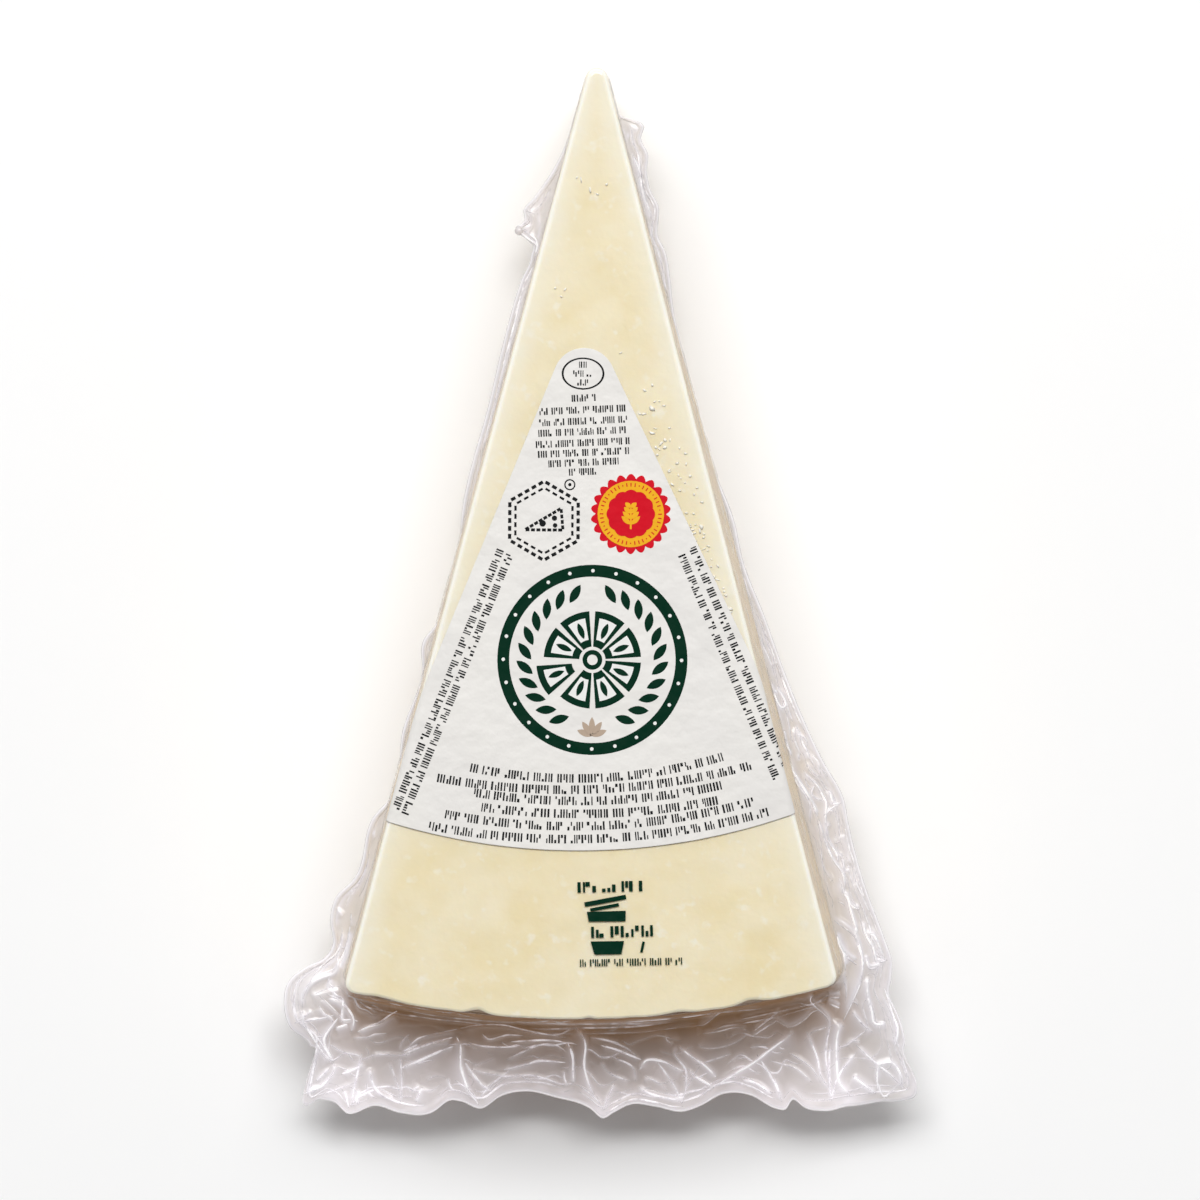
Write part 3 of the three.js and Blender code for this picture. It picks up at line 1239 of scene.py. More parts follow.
@dataclass
class Folds:
    """The skirt's creases: the main ones, and many small ones that follow its rim."""

    outline: Stations
    whole: float
    reach: Callable[[Array], Array]
    sunk: float
    eye: Eye = Eye()
    seed: int = 31
    levels: tuple[float, ...] = (0.16, 0.3, 0.44, 0.58, 0.7, 0.82)
    sparse: tuple[float, ...] = (0.16, 0.44, 0.7)
    rim_lines: tuple[Pair, ...] = ((0.75, 1.0), (1.7, 0.7), (2.6, 0.4))
    root_lines: tuple[float, ...] = (1.5, 2.0, 2.6, 3.4)
    broad_reach: float = 9.0
    wander: Noise = field(default_factory=lambda: Noise(33))
    sketches: tuple[Sketch, ...] = (
        # right of the middle of the rind
        Sketch((600, 1000), 8.711, (
            (((0, 395), (130, 430), (260, 480), (370, 525)), 0.3, 0.4, 0.8),
            (((0, 340), (120, 370), (250, 430), (330, 500)), 0.3, 0.3, 0.4),
            (((100, 500), (230, 545), (300, 610), (310, 720)), 0.3, 0.4, 0.6),
            (((0, 530), (80, 635), (270, 715)), 0.3, 0.4, 0.6),
            (((340, 620), (410, 520), (560, 535), (650, 590), (740, 630)), 0.4, 0.7, 1.0),
            (((370, 700), (440, 690), (520, 730), (590, 800)), 0.3, 0.4, 0.5),
            (((320, 750), (420, 810), (560, 850), (680, 870), (740, 840)), 0.4, 0.6, 0.9),
            (((740, 840), (755, 700), (740, 600), (650, 470), (680, 400)), 0.35, 0.5, 0.7),
            (((570, 300), (580, 350), (650, 390)), 0.3, 0.3, 0.4),
            (((680, 400), (780, 480), (900, 560), (960, 620), (1015, 685)), 0.4, 0.8, 1.0),
            (((760, 590), (830, 670), (930, 730), (1000, 770)), 0.35, 0.6, 0.8),
            (((1000, 760), (1180, 640), (1340, 545), (1450, 460), (1568, 370),
              (1700, 280)), 0.5, 1.0, 1.0),
            (((880, 300), (1040, 270), (1180, 240), (1290, 265)), 0.3, 0.3, 0.4),
            (((1290, 290), (1200, 360), (1060, 410), (920, 420), (840, 385)), 0.3, 0.3, 0.4),
            (((1340, 270), (1440, 190), (1568, 90)), 0.3, 0.4, 0.5),
            (((1310, 330), (1440, 240), (1568, 160)), 0.35, 0.4, 0.5),
            (((1230, 700), (1340, 720), (1430, 770), (1500, 830)), 0.4, 0.7, 0.9),
        )),
        # left of the middle of the rind
        Sketch((400, 1000), 7.127, (
            (((0, 385), (60, 340), (140, 270), (300, 230), (420, 205)), 0.3, 0.4, 0.6),
            (((420, 205), (560, 180), (740, 180), (900, 215), (1080, 250),
              (1195, 270)), 0.3, 0.35, 0.5),
            (((0, 400), (110, 350), (240, 305), (380, 262)), 0.45, 0.8, 1.0),
            (((0, 490), (120, 440), (300, 360), (390, 330)), 0.35, 0.6, 0.9),
            (((400, 255), (430, 330), (430, 420), (440, 500), (490, 640),
              (560, 750)), 0.55, 1.1, 1.0),
            (((460, 440), (520, 530), (590, 610), (660, 655)), 0.35, 0.6, 0.8),
            (((340, 550), (360, 620), (400, 655)), 0.3, 0.4, 0.7),
            (((480, 300), (600, 330), (800, 335), (880, 320)), 0.3, 0.4, 0.6),
            (((780, 300), (1000, 285), (1120, 290), (1190, 310)), 0.3, 0.4, 0.7),
            (((750, 430), (850, 380), (1000, 320), (1100, 320), (1190, 370)), 0.25, 0.3, 0.6),
            (((730, 500), (820, 480), (900, 460), (1000, 435), (1190, 450)), 0.35, 0.5, 0.8),
            (((490, 490), (600, 520), (780, 545), (950, 540), (1200, 620)), 0.4, 0.5, 0.6),
            (((1195, 300), (1230, 400), (1235, 520), (1240, 600)), 0.35, 0.7, 0.9),
            (((1245, 190), (1300, 250), (1320, 330), (1310, 460), (1340, 580),
              (1390, 700)), 0.4, 0.8, 0.9),
            (((1170, 500), (1175, 570), (1200, 620)), 0.3, 0.4, 0.6),
            (((1340, 265), (1450, 280), (1568, 310)), 0.3, 0.3, 0.5),
        )),
        # the right corner
        Sketch((760, 880), 6.53, (
            (((445, 240), (600, 350), (650, 430), (670, 560), (650, 680), (600, 800),
              (540, 930)), 0.4, 0.7, 0.8),
            (((540, 930), (500, 1020), (500, 1200), (520, 1330), (600, 1420)), 0.6, 1.1, 1.0),
            (((350, 740), (325, 780), (350, 820), (450, 920), (440, 1040), (430, 1150), (450, 1280),
              (500, 1390)), 0.4, 0.6, 0.7),
            (((600, 860), (670, 940), (740, 1000)), 0.4, 0.5, 0.7),
            (((715, 640), (700, 740), (730, 860), (740, 930), (790, 945),
              (830, 920)), 0.35, 0.6, 1.0),
            (((810, 700), (870, 880), (900, 980), (880, 1100)), 0.5, 0.7, 0.9),
            (((770, 1380), (770, 1230), (810, 1200), (870, 1200), (920, 1280),
              (930, 1380)), 0.4, 0.7, 0.9),
            (((770, 1320), (810, 1420), (900, 1350)), 0.3, 0.4, 0.7),
            (((600, 1280), (680, 1340), (760, 1400)), 0.45, 0.8, 1.0),
            (((300, 980), (370, 1150), (400, 1280), (470, 1380)), 0.35, 0.5, 0.7),
            (((180, 1120), (330, 1220), (400, 1330)), 0.35, 0.4, 0.5),
            (((60, 1180), (230, 1230), (350, 1330)), 0.35, 0.4, 0.5),
            (((500, 390), (560, 490), (640, 560)), 0.4, 0.6, 0.8),
            (((560, 80), (600, 170), (660, 190)), 0.3, 0.5, 0.9),
            (((620, 0), (700, 180), (720, 210)), 0.35, 0.5, 0.8),
            (((700, 380), (740, 360), (820, 530)), 0.4, 0.6, 0.9),
            (((690, 500), (720, 580), (800, 550)), 0.35, 0.6, 0.9),
            (((440, 770), (530, 770)), 0.3, 0.3, 0.7),
            (((440, 800), (530, 840)), 0.3, 0.3, 0.7),
            (((560, 1080), (600, 1050), (660, 1060)), 0.3, 0.4, 0.6),
        )),
        # the left corner
        Sketch((285, 950), 8.957, (
            (((480, 0), (455, 150), (330, 220), (230, 290), (170, 400), (155, 530)), 0.4, 0.7, 0.9),
            (((155, 530), (180, 660), (250, 790), (340, 920), (435, 1015)), 0.4, 0.7, 0.9),
            (((240, 720), (330, 850), (430, 1010)), 0.35, 0.5, 0.7),
            (((220, 410), (330, 370), (430, 330), (500, 330)), 0.7, 0.5, 0.5),
            (((300, 400), (400, 490), (490, 590), (520, 650)), 0.35, 0.5, 0.6),
            (((360, 390), (480, 440), (570, 540), (615, 630), (590, 740)), 0.4, 0.6, 0.9),
            (((300, 490), (350, 570), (410, 600), (430, 650)), 0.35, 0.5, 0.7),
            (((490, 590), (375, 750), (350, 830), (390, 920), (440, 1015)), 0.4, 0.7, 0.9),
            (((450, 705), (570, 665)), 0.35, 0.5, 1.0),
            (((640, 740), (750, 690), (850, 650), (930, 590), (1015, 540)), 0.35, 0.6, 0.9),
            (((600, 790), (750, 780), (800, 760), (920, 750)), 0.3, 0.4, 0.5),
            (((390, 840), (520, 920), (640, 940), (700, 980)), 0.35, 0.4, 0.6),
            (((760, 950), (900, 940), (1050, 945), (1150, 910)), 0.35, 0.5, 0.6),
            (((1030, 910), (1050, 830), (1120, 750)), 0.3, 0.4, 0.5),
            (((1050, 915), (1200, 840)), 0.3, 0.5, 0.9),
            (((500, 1120), (600, 1080), (660, 1050), (700, 1010)), 0.35, 0.6, 0.9),
            (((150, 1300), (240, 1260), (330, 1220), (430, 1110), (440, 1020)), 0.45, 0.7, 0.9),
            (((270, 1180), (400, 1060)), 0.35, 0.5, 0.8),
            (((530, 1260), (570, 1430)), 0.4, 0.6, 0.8),
            (((690, 1290), (640, 1330), (650, 1400)), 0.4, 0.6, 1.0),
            (((760, 1050), (780, 1180), (850, 1290), (1030, 1390)), 0.5, 0.8, 0.8),
            (((730, 1190), (750, 1290), (830, 1340)), 0.35, 0.5, 0.6),
            (((1130, 1270), (1200, 1220)), 0.35, 0.5, 0.8),
            (((1170, 1370), (1230, 1230)), 0.4, 0.6, 0.9),
            (((650, 450), (780, 530), (870, 580)), 0.3, 0.3, 0.35),
            (((760, 480), (900, 550)), 0.3, 0.3, 0.35),
        )),
        # down the right side
        Sketch((745, 640), 6.03, (
            (((120, 0), (200, 130), (290, 350), (370, 520), (430, 680)), 0.35, 0.5, 0.8),
            (((430, 680), (520, 850), (590, 960)), 0.35, 0.5, 0.9),
            (((230, 710), (300, 810), (400, 970), (440, 1070)), 0.35, 0.7, 1.0),
            (((440, 1070), (480, 1200), (520, 1310), (590, 1420), (600, 1540)), 0.35, 0.6, 0.8),
            (((400, 980), (450, 1150), (470, 1370), (540, 1470)), 0.3, 0.4, 0.4),
            (((300, 930), (350, 1100), (370, 1270), (400, 1400), (460, 1490)), 0.5, 0.5, 0.4),
            (((160, 230), (175, 330), (215, 405), (245, 380), (190, 270)), 0.3, 0.5, 0.9),
            (((235, 540), (245, 620), (280, 700)), 0.3, 0.5, 0.9),
            (((300, 530), (300, 610), (340, 700)), 0.3, 0.4, 0.6),
            (((370, 740), (420, 810), (450, 830)), 0.3, 0.4, 0.6),
            (((310, 570), (360, 590), (380, 640)), 0.3, 0.4, 0.7),
            (((400, 690), (440, 740), (460, 820)), 0.3, 0.4, 0.8),
            (((450, 760), (500, 830)), 0.4, 0.6, 1.0),
            (((510, 900), (530, 990)), 0.35, 0.5, 0.9),
            (((420, 870), (400, 930), (440, 960), (490, 970)), 0.3, 0.4, 0.7),
            (((520, 1100), (490, 1140), (500, 1200), (560, 1300), (600, 1300)), 0.3, 0.5, 0.8),
            (((600, 1160), (640, 1270), (655, 1370)), 0.4, 0.6, 1.0),
            (((590, 1310), (600, 1390), (640, 1390)), 0.3, 0.4, 0.7),
        )),
        # right of the tip
        Sketch((610, 150), 7.13, (
            (((150, 20), (200, 130), (215, 180), (230, 300), (280, 440),
              (290, 500)), 0.25, 0.4, 1.0),
            (((320, 545), (300, 610), (310, 720), (350, 880)), 0.25, 0.4, 0.9),
            (((290, 340), (340, 410), (350, 470)), 0.25, 0.4, 0.9),
            (((340, 700), (390, 760), (410, 840), (400, 950), (400, 1010)), 0.25, 0.4, 1.0),
        )),
        # by the tip
        Sketch((0, 0), 1.0, (
            (((549, 176), (536, 196), (528, 212), (527, 221), (533, 232)), 0.25, 0.3, 0.9),
            (((553, 167), (544, 190), (539, 212), (540, 230), (536, 246)), 0.25, 0.3, 0.6),
            (((530, 214), (540, 206), (552, 188)), 0.2, 0.25, 0.5),
            (((522, 230), (532, 236), (537, 243), (535, 258)), 0.25, 0.3, 0.8),
            (((531, 258), (524, 275), (521, 300), (513, 318)), 0.22, 0.3, 0.8),
            (((527, 262), (519, 286), (516, 310), (507, 335), (502, 352)), 0.22, 0.3, 0.6),
            (((612, 125), (624, 133), (628, 137), (621, 146), (618, 156)), 0.22, 0.3, 0.8),
            (((613, 128), (616, 138), (616, 148), (622, 160)), 0.2, 0.25, 0.6),
        )),
    )

    def place(self, walk: Array, out: Array) -> list[Pair]:
        """Plan points at walking distances and distances outside the outline.

        Args:
            walk: walking distances from the middle of the tip.
            out: distances outside the outline.

        Returns:
            The points.
        """
        walk = np.mod(np.asarray(walk, float) + self.whole / 2, self.whole) - self.whole / 2
        at = self.outline
        cuts = np.where(at.walk > self.whole / 2, at.walk - self.whole, at.walk)
        order = np.argsort(cuts)
        values = (np.interp(walk, cuts[order], v[order]) for v in (at.x, at.r, at.nx, at.nr))
        x, r, nx, nr = values
        size = np.hypot(nx, nr)
        return list(zip((x + nx / size * out).tolist(), (r + nr / size * out).tolist()))

    def contours(self, rng: np.random.Generator) -> list[Crease]:
        """Long creases that run side by side with the rim, broken here and there.

        Args:
            rng: where the gaps and the strengths come from.

        Returns:
            The creases.
        """
        made = []
        for level in self.levels:
            begin = rng.uniform(0, 6)
            while begin < self.whole:
                length, gap = rng.uniform(4, 14), rng.uniform(0.5, 6)
                height, shine = rng.uniform(0.15, 0.4), rng.uniform(0.25, 1.1)
                lean = float(rng.choice([-1, 1]))
                walk = begin + np.linspace(0, length, max(5, int(length / 1.1)))
                reach = self.reach(walk)
                share = level + 0.2 * self.wander.value(walk / 11, 0.5 + 0 * walk)
                share = share + 0.12 * self.wander.value(walk / 4, level * 30 + 0 * walk)
                share = share + 0.05 * self.wander.value(walk / 1.6, level * 90 + 0 * walk)
                shortest = float(reach.min())
                begin += length + gap
                if level * shortest < 0.5 or (1 - level) * shortest < 0.5:
                    continue
                if shortest < self.broad_reach and level in self.sparse:
                    continue
                busy = 0.6 if shortest > self.broad_reach else 1.0
                width = float(np.clip(shortest / 16, 0.15, 0.3))
                height = height * min(1.0, shortest / 5) * busy
                points = tuple(self.place(walk, np.clip(share, 0.1, 0.93) * reach))
                made.append(Crease(points, width, height, shine * busy, lean))
        return made

    def rims(self, rng: np.random.Generator) -> list[Crease]:
        """Broken lines at even distances inside the rim.

        Args:
            rng: where the gaps and the strengths come from.

        Returns:
            The creases.
        """
        made = []
        for inside, strength in self.rim_lines:
            begin = rng.uniform(0, 3)
            while begin < self.whole:
                length, gap = rng.uniform(6, 22), rng.uniform(0.3, 2.5)
                walk = begin + np.linspace(0, length, int(length / 0.7))
                reach = self.reach(walk)
                shift = 0.25 * self.wander.value(walk / 3, inside * 9 + 0 * walk)
                begin += length + gap
                if reach.min() < 1.8 * inside:
                    continue
                points = tuple(self.place(walk, reach - inside * (1 + shift)))
                shine = strength * rng.uniform(0.7, 1.1)
                made.append(Crease(points, 0.22, 0.15, shine))
        return made

    def roots(self, rng: np.random.Generator) -> list[Crease]:
        """Fine lines drawn along the cheese's wall, mostly on the rind's side.

        Args:
            rng: where the gaps and the strengths come from.

        Returns:
            The creases.
        """
        made = []
        for beyond in self.root_lines:
            begin = rng.uniform(0, 10)
            while begin < self.whole:
                length, gap = rng.uniform(8, 26), rng.uniform(1, 9)
                walk = begin + np.linspace(0, length, int(length / 1.5))
                reach = self.reach(walk)
                drift = rng.uniform(-0.5, 0.5) * np.linspace(-1, 1, len(walk))
                shift = 0.3 * self.wander.value(walk / 7, beyond * 5 + 0 * walk) + drift
                begin += length + gap
                if reach.min() < beyond + 1.5:
                    continue
                points = tuple(self.place(walk, beyond + shift))
                quiet = 1.0 if reach.min() > self.broad_reach else 0.5
                shine = quiet * rng.uniform(0.15, 0.5)
                made.append(Crease(points, 0.15, 0.1 * quiet, shine))
        return made

    def hooks(self, rng: np.random.Generator) -> list[Crease]:
        """Small loops of film, where long creases kink.

        Args:
            rng: where their places and sizes come from.

        Returns:
            The creases.
        """
        made = []
        begin = rng.uniform(0, 4)
        while begin < self.whole:
            reach = float(self.reach(np.array([begin]))[0])
            radius, share = rng.uniform(0.4, 1.2), rng.uniform(0.35, 0.85)
            start, sweep = rng.uniform(0, 2 * math.pi), math.radians(rng.uniform(60, 130))
            begin += rng.uniform(3, 7)
            if reach < 3.0:
                continue
            turn = start + np.linspace(0, sweep, 6) * rng.choice([-1, 1])
            walk = begin + 1.5 * radius * np.cos(turn)
            points = tuple(self.place(walk, share * reach + radius * np.sin(turn)))
            low, high = (0.3, 0.9) if reach < self.broad_reach else (0.2, 0.5)
            made.append(Crease(points, 0.2, 0.25, rng.uniform(low, high)))
        return made

    def fans(self, rng: np.random.Generator) -> list[Crease]:
        """Short creases that run together at the tip of each lobe of the rim.

        Args:
            rng: where their spread and strengths come from.

        Returns:
            The creases.
        """
        walk = np.arange(0, self.whole, 0.25)
        reach = self.reach(walk)
        made = []
        for i in range(len(walk)):
            about = reach[np.arange(i - 8, i + 9) % len(walk)]
            if reach[i] < 3 or reach[i] < about.max() or reach[i] == about.min():
                continue
            for spread in rng.permutation([-3.0, -1.2, 0.6, 2.4])[:2]:
                spread = spread * reach[i] / 14 + rng.normal(0, 0.4)
                root = rng.uniform(0.45, 0.75)
                t = np.linspace(0, 1, 4)
                out = reach[i] * lerp(root, 0.93, t)
                side = walk[i] + spread * (1 - t) ** 1.5
                width = float(np.clip(reach[i] / 20, 0.25, 0.4))
                points = tuple(self.place(side, out))
                height, shine = rng.uniform(0.3, 0.5), rng.uniform(0.4, 0.8)
                made.append(Crease(points, width, height, shine, math.copysign(1, spread)))
        return made

    def every(self) -> list[Crease]:
        """Works out all the creases.

        Returns:
            The main creases first, then the small ones.
        """
        rng = np.random.default_rng(self.seed)
        main = [sketch.in_plan(self.eye, self.sunk) for sketch in self.sketches]
        small = [draw(rng) for draw in (self.contours, self.rims, self.roots, self.hooks, self.fans)]
        return [crease for group in (*main, *small) for crease in group]


@dataclass
class Beads:
    """The painted highlight lines along the creases' crests, each a slim closed bead that lies on the
    skirt.
    """

    wedge: Wedge
    skirt: BVHTree
    noise: Noise
    shade: Callable[[Array, Array], Array]
    half: float = 0.14
    step: float = 0.3
    least_shine: float = 0.25
    least_found: float = 0.7
    section: tuple[Pair, ...] = ((-1, 0.0), (0, 0.6), (1, 0.0), (0, -0.5))
    points: list[Array] = field(default_factory=list)
    faces: list[tuple[int, ...]] = field(default_factory=list)
    lit: list[Array] = field(default_factory=list)
    shaded: list[Array] = field(default_factory=list)

    def add(self, crease: Crease) -> None:
        """Adds the bead of one crease, unless it is faint or off the skirt.

        Args:
            crease: what the bead runs along.
        """
        if crease.shine < self.least_shine:
            return
        x, r = self._walk(crease)
        z = self._drop(x, r)
        if z is None:
            return
        tangent = np.stack([np.gradient(x), np.gradient(r)], axis=1)
        tangent /= np.linalg.norm(tangent, axis=1)[:, None] + 1e-9
        taper = np.sqrt(np.clip(np.sin(math.pi * np.linspace(0, 1, len(x))), 0, 1))
        swing = 1 + 0.6 * self.noise.value(x / 1.3, r / 1.3)
        half = self.half * (0.55 + 0.6 * crease.shine) * taper * swing + 0.01
        self._join(len(x))
        for across, up in self.section:
            side_x, side_r = tangent[:, 1] * half * across, tangent[:, 0] * half * across
            self.points.append(self.wedge.world(x - side_x, r + side_r, z + half * up))
            self.lit.append(crease.shine * taper**0.5)
            self.shaded.append(self.shade(x, r))

    def _walk(self, crease: Crease) -> tuple[Array, Array]:
        """Even steps along a crease.

        Args:
            crease: the crease.

        Returns:
            The plan coordinates x and r.
        """
        knots = crease.curve()
        steps = np.linalg.norm(np.diff(knots, axis=0), axis=1)
        length = np.concatenate([[0], np.cumsum(steps)])
        at = np.linspace(0, length[-1], max(6, int(length[-1] / self.step)))
        return np.interp(at, length, knots[:, 0]), np.interp(at, length, knots[:, 1])

    def _drop(self, x: Array, r: Array) -> Array | None:
        """Finds the skirt's upper face under plan points.

        Args:
            x: plan points.
            r: plan points.

        Returns:
            Its smoothed heights, or nothing where too little of it is there.
        """
        heights = []
        for point in self.wedge.world(x, r, self.wedge.thickness + 0 * x):
            hit = self.skirt.ray_cast(point.tolist(), (0, 0, -1))[0]
            heights.append(None if hit is None else hit.z / MM)
        found = [z for z in heights if z is not None]
        if len(found) < self.least_found * len(heights):
            return None
        places = [i for i, z in enumerate(heights) if z is not None]
        z = np.interp(np.arange(len(heights)), places, found)
        padded = np.pad(z, 2, mode="edge")
        return np.convolve(padded, np.full(5, 0.2), mode="valid")

    def _join(self, count: int) -> None:
        """Adds the faces of the next bead.

        Args:
            count: how many points it is long.
        """
        corners = len(self.section)
        first = sum(len(part) for part in self.points)
        rows = (first + np.arange(corners)[:, None] * count + np.arange(count)).tolist()
        for a, b in zip(rows, rows[1:] + rows[:1]):
            self.faces += list(zip(a[:-1], a[1:], b[1:], b[:-1]))
        self.faces.append(tuple(row[0] for row in rows))
        self.faces.append(tuple(row[-1] for row in rows[::-1]))

    def build(self) -> bpy.types.Object:
        """Makes the beads, joined in one mesh.

        Returns:
            The finished object.
        """
        looks = {"lit": np.concatenate(self.lit), "shaded": np.concatenate(self.shaded)}
        piece = Piece("film_crease_highlights", np.vstack(self.points), self.faces, looks)
        return piece.build(RidgeFinish().make(), Slot.FILM, "vacuum_pack")


@dataclass
class Skirt:
    """The bag's loose skirt: a thick-looking wavy flange of film with a rolled rim."""

    wedge: Wedge
    cut: Sampling = field(default_factory=lambda: Sampling(24, 300, 120, 400))
    rows: int = 60
    rim_rows: int = 7
    under_rows: int = 11
    sheet_half: float = 0.5
    rim_half: float = 0.75
    root_gap: float = -0.1
    root_fillet: float = 4.0
    side_fillet: float = 1.0
    fillet_width: float = 1.8
    droop: float = 0.12
    broad: float = 0.35
    fine: float = 0.04
    knob_at: float = 31.0
    knob_inset: float = 0.7
    knob_radius: float = 0.75
    least_reach: float = 0.5
    reaches: dict[Section, tuple[Pair, ...]] = field(
        default_factory=lambda: {
            Section.RIGHT: (
                (7, 0.55), (11.7, 0.8), (13.2, 3.5), (14, 4.0), (15.5, 3.1), (18.5, 3.5),
                (21, 2.7), (23.7, 2.5), (26.6, 3.1), (31.3, 1.9), (33.6, 2.4), (38, 2.1),
                (42, 1.5), (52, 1.2), (68, 1.4), (77, 2.5), (83, 2.3), (93, 3.5), (99.5, 4.1),
                (109.5, 5.4), (116.3, 6.7), (123.1, 8.4), (126.3, 8.2), (136, 8.2), (145.5, 9.2),
            ),
            Section.RIGHT_CORNER: (
                (6, 9.5), (20, 9.3), (35, 9.9), (45, 12.7), (53, 15.2), (59.5, 17.2),
                (62.5, 20.6), (66, 22.4), (71, 22.1), (79, 20.5), (88, 19.8),
            ),
            Section.RIND: (
                (12.4, 19.4), (11.4, 18.2), (10.9, 16.7), (10.4, 18), (9.9, 17.6), (8.7, 15),
                (7.2, 14.2), (5.9, 15.7), (5, 16.3), (3.5, 15.2), (2.2, 14.7), (1.2, 16),
                (0.7, 16.8), (0, 15.3), (-1.9, 13.7), (-3.6, 13), (-4.9, 14.1), (-5.8, 16.2),
                (-7, 15.5), (-7.6, 15.6), (-8.4, 17.8), (-10.1, 18.8), (-11.5, 18.5),
                (-12.8, 20.6), (-13.6, 19.4),
            ),
            Section.LEFT_CORNER: (
                (87, 19.5), (80, 20.2), (78, 17), (76, 13.6), (71, 12.6), (52, 12.5),
                (38, 11.4), (25, 9.9), (13, 7.4),
            ),
            Section.LEFT: (
                (147.5, 4.6), (145, 3.8), (141.6, 5.1), (137.9, 5.1), (134.7, 3.3), (124, 2.4),
                (121.5, 1), (110.4, 1.7), (101.4, 1.1), (96.2, 2.2), (93.5, 1), (79.7, 0.8),
                (76, 1.5), (57.5, 1.9), (47.4, 2.2), (38.6, 2), (34.2, 1.5), (32.2, 2.3),
                (31.4, 4.6), (30.6, 4.9), (29.4, 3.9), (27.7, 4.5), (25.7, 3.5), (23.9, 2.8),
                (20.7, 1.7), (18.3, 1.1), (8.8, 0.55),
            ),
        }
    )
    noises: tuple[Noise, ...] = field(
        default_factory=lambda: tuple(Noise(seed) for seed in range(21, 25))
    )

    def __post_init__(self) -> None:
        """Cuts the outline up and works out the reach at each station."""
        self.at = self.wedge.sample(self.cut)
        self.reach = self.reach_at(self.at.walk)
        self.full = np.clip(self.reach / 2, 0.0, 1.0)
        self.root = np.minimum(self.at.swell, 0.5 * self.reach) + self.root_gap
        sunk = self.wedge.thickness - self.wedge.skirt_z
        self.folds = Folds(self.at, self.wedge.whole_walk, self.reach_at, sunk)
        self.creases = self.folds.every()
        self.rim = self.rim_half * lerp(0.3, 1.0, self.full)
        self.sheet = self.sheet_half * lerp(0.4, 1.0, self.full)

    def reach_at(self, walk: Array) -> Array:
        """A smooth closed curve through the reaches.

        Args:
            walk: walking distances from the middle of the tip.

        Returns:
            How far the skirt reaches past the face's edge there.
        """
        whole = self.wedge.whole_walk
        knots = [
            (float(self.wedge.walk(section, at)), reach)
            for section, pairs in self.reaches.items()
            for at, reach in pairs
        ]
        places, values = np.array(knots).T
        places = np.concatenate([places[-2:] - whole, places, places[:2] + whole])
        values = np.concatenate([values[-2:], values, values[:2]])
        slopes = np.gradient(values, places)
        walk = np.mod(walk, whole)
        i = np.clip(np.searchsorted(places, walk) - 1, 0, len(places) - 2)
        width = places[i + 1] - places[i]
        t = (walk - places[i]) / width
        ease = t * t * (3 - 2 * t)
        lift = width * t * (1 - t) * ((1 - t) * slopes[i] - t * slopes[i + 1])
        return np.maximum(self.least_reach, lerp(values[i], values[i + 1], ease) + lift)

    def _middle(self, out: Array) -> Array:
        """Height of the skirt's middle surface at a distance outside the outline.

        Args:
            out: the distance, with the stations along the last axis.

        Returns:
            The heights.
        """
        share = np.clip(out / self.reach, 0, 1)
        size = share * np.clip(self.reach / 14, 0, 1)
        waves = np.zeros(self.at.walk.shape)
        for length, height, phase in ((26.0, 0.5, 0.0), (10.0, 0.2, 1.0)):
            turns = round(self.wedge.whole_walk / length)
            angle = 2 * math.pi * turns * self.at.walk / self.wedge.whole_walk + phase
            waves = waves + height * np.sin(angle)
        return self.wedge.skirt_z - self.droop * self.reach * share + size * waves

    def _sheet(self, rows: int, side: int) -> tuple[Array, Array, Array]:
        """One face of the skirt, from the wall out to the rim.

        Args:
            rows: how many rows of points it has.
            side: 1 for the upper face, -1 for the lower one.

        Returns:
            Distance out, height and crest share of each point, row by row from the wall.
        """
        share = np.linspace(0, 1, rows)[:, None]
        out = lerp(self.root, self.reach - self.rim, share)
        inside = self.reach - out
        blend = 1 - smoothstep(inside, self.rim, self.rim + 0.07 * self.reach)
        window = smoothstep(share, 0.0, 0.1) * (1 - blend)
        x, r = self.at.outward(out)
        room = np.clip(self.reach / 7, 0.12, 1.0)
        broad, small = self.noises[side], self.noises[side + 2]
        relief = self.broad * broad.value(x / 9.0, r / 9.0) + self.fine * small.value(x / 2.4, r / 2.4)
        height, crest = np.zeros(x.shape), np.zeros(x.shape)
        if side > 0:
            LOG.info("skirt: %d creases", len(self.creases))
            for crease in self.creases:
                crease.press(x, r, height, crest)
        relief = relief * room + height
        from_wall = smoothstep(out - self.root, 0.0, self.fillet_width)
        tallest = lerp(self.side_fillet, self.root_fillet, smoothstep(self.at.rind, 0.2, 0.9))
        fillet = tallest * self.full * (1 - from_wall) ** 2 * (side > 0)
        thick = lerp(self.sheet, self.rim, blend) + fillet + window * relief
        z = self._middle(out) + side * thick
        rim = np.clip(1 - inside / 4.5, 0, 1) * np.clip(self.reach / 5, 0.3, 1)
        # the rim band is whitened in patches
        rim_whitening = 0.25 + 0.6 * broad.value(x / 3.5 + 7, r / 3.5)
        return out, z, np.maximum(crest * window, rim_whitening * smoothstep(rim, 0.0, 1.0))

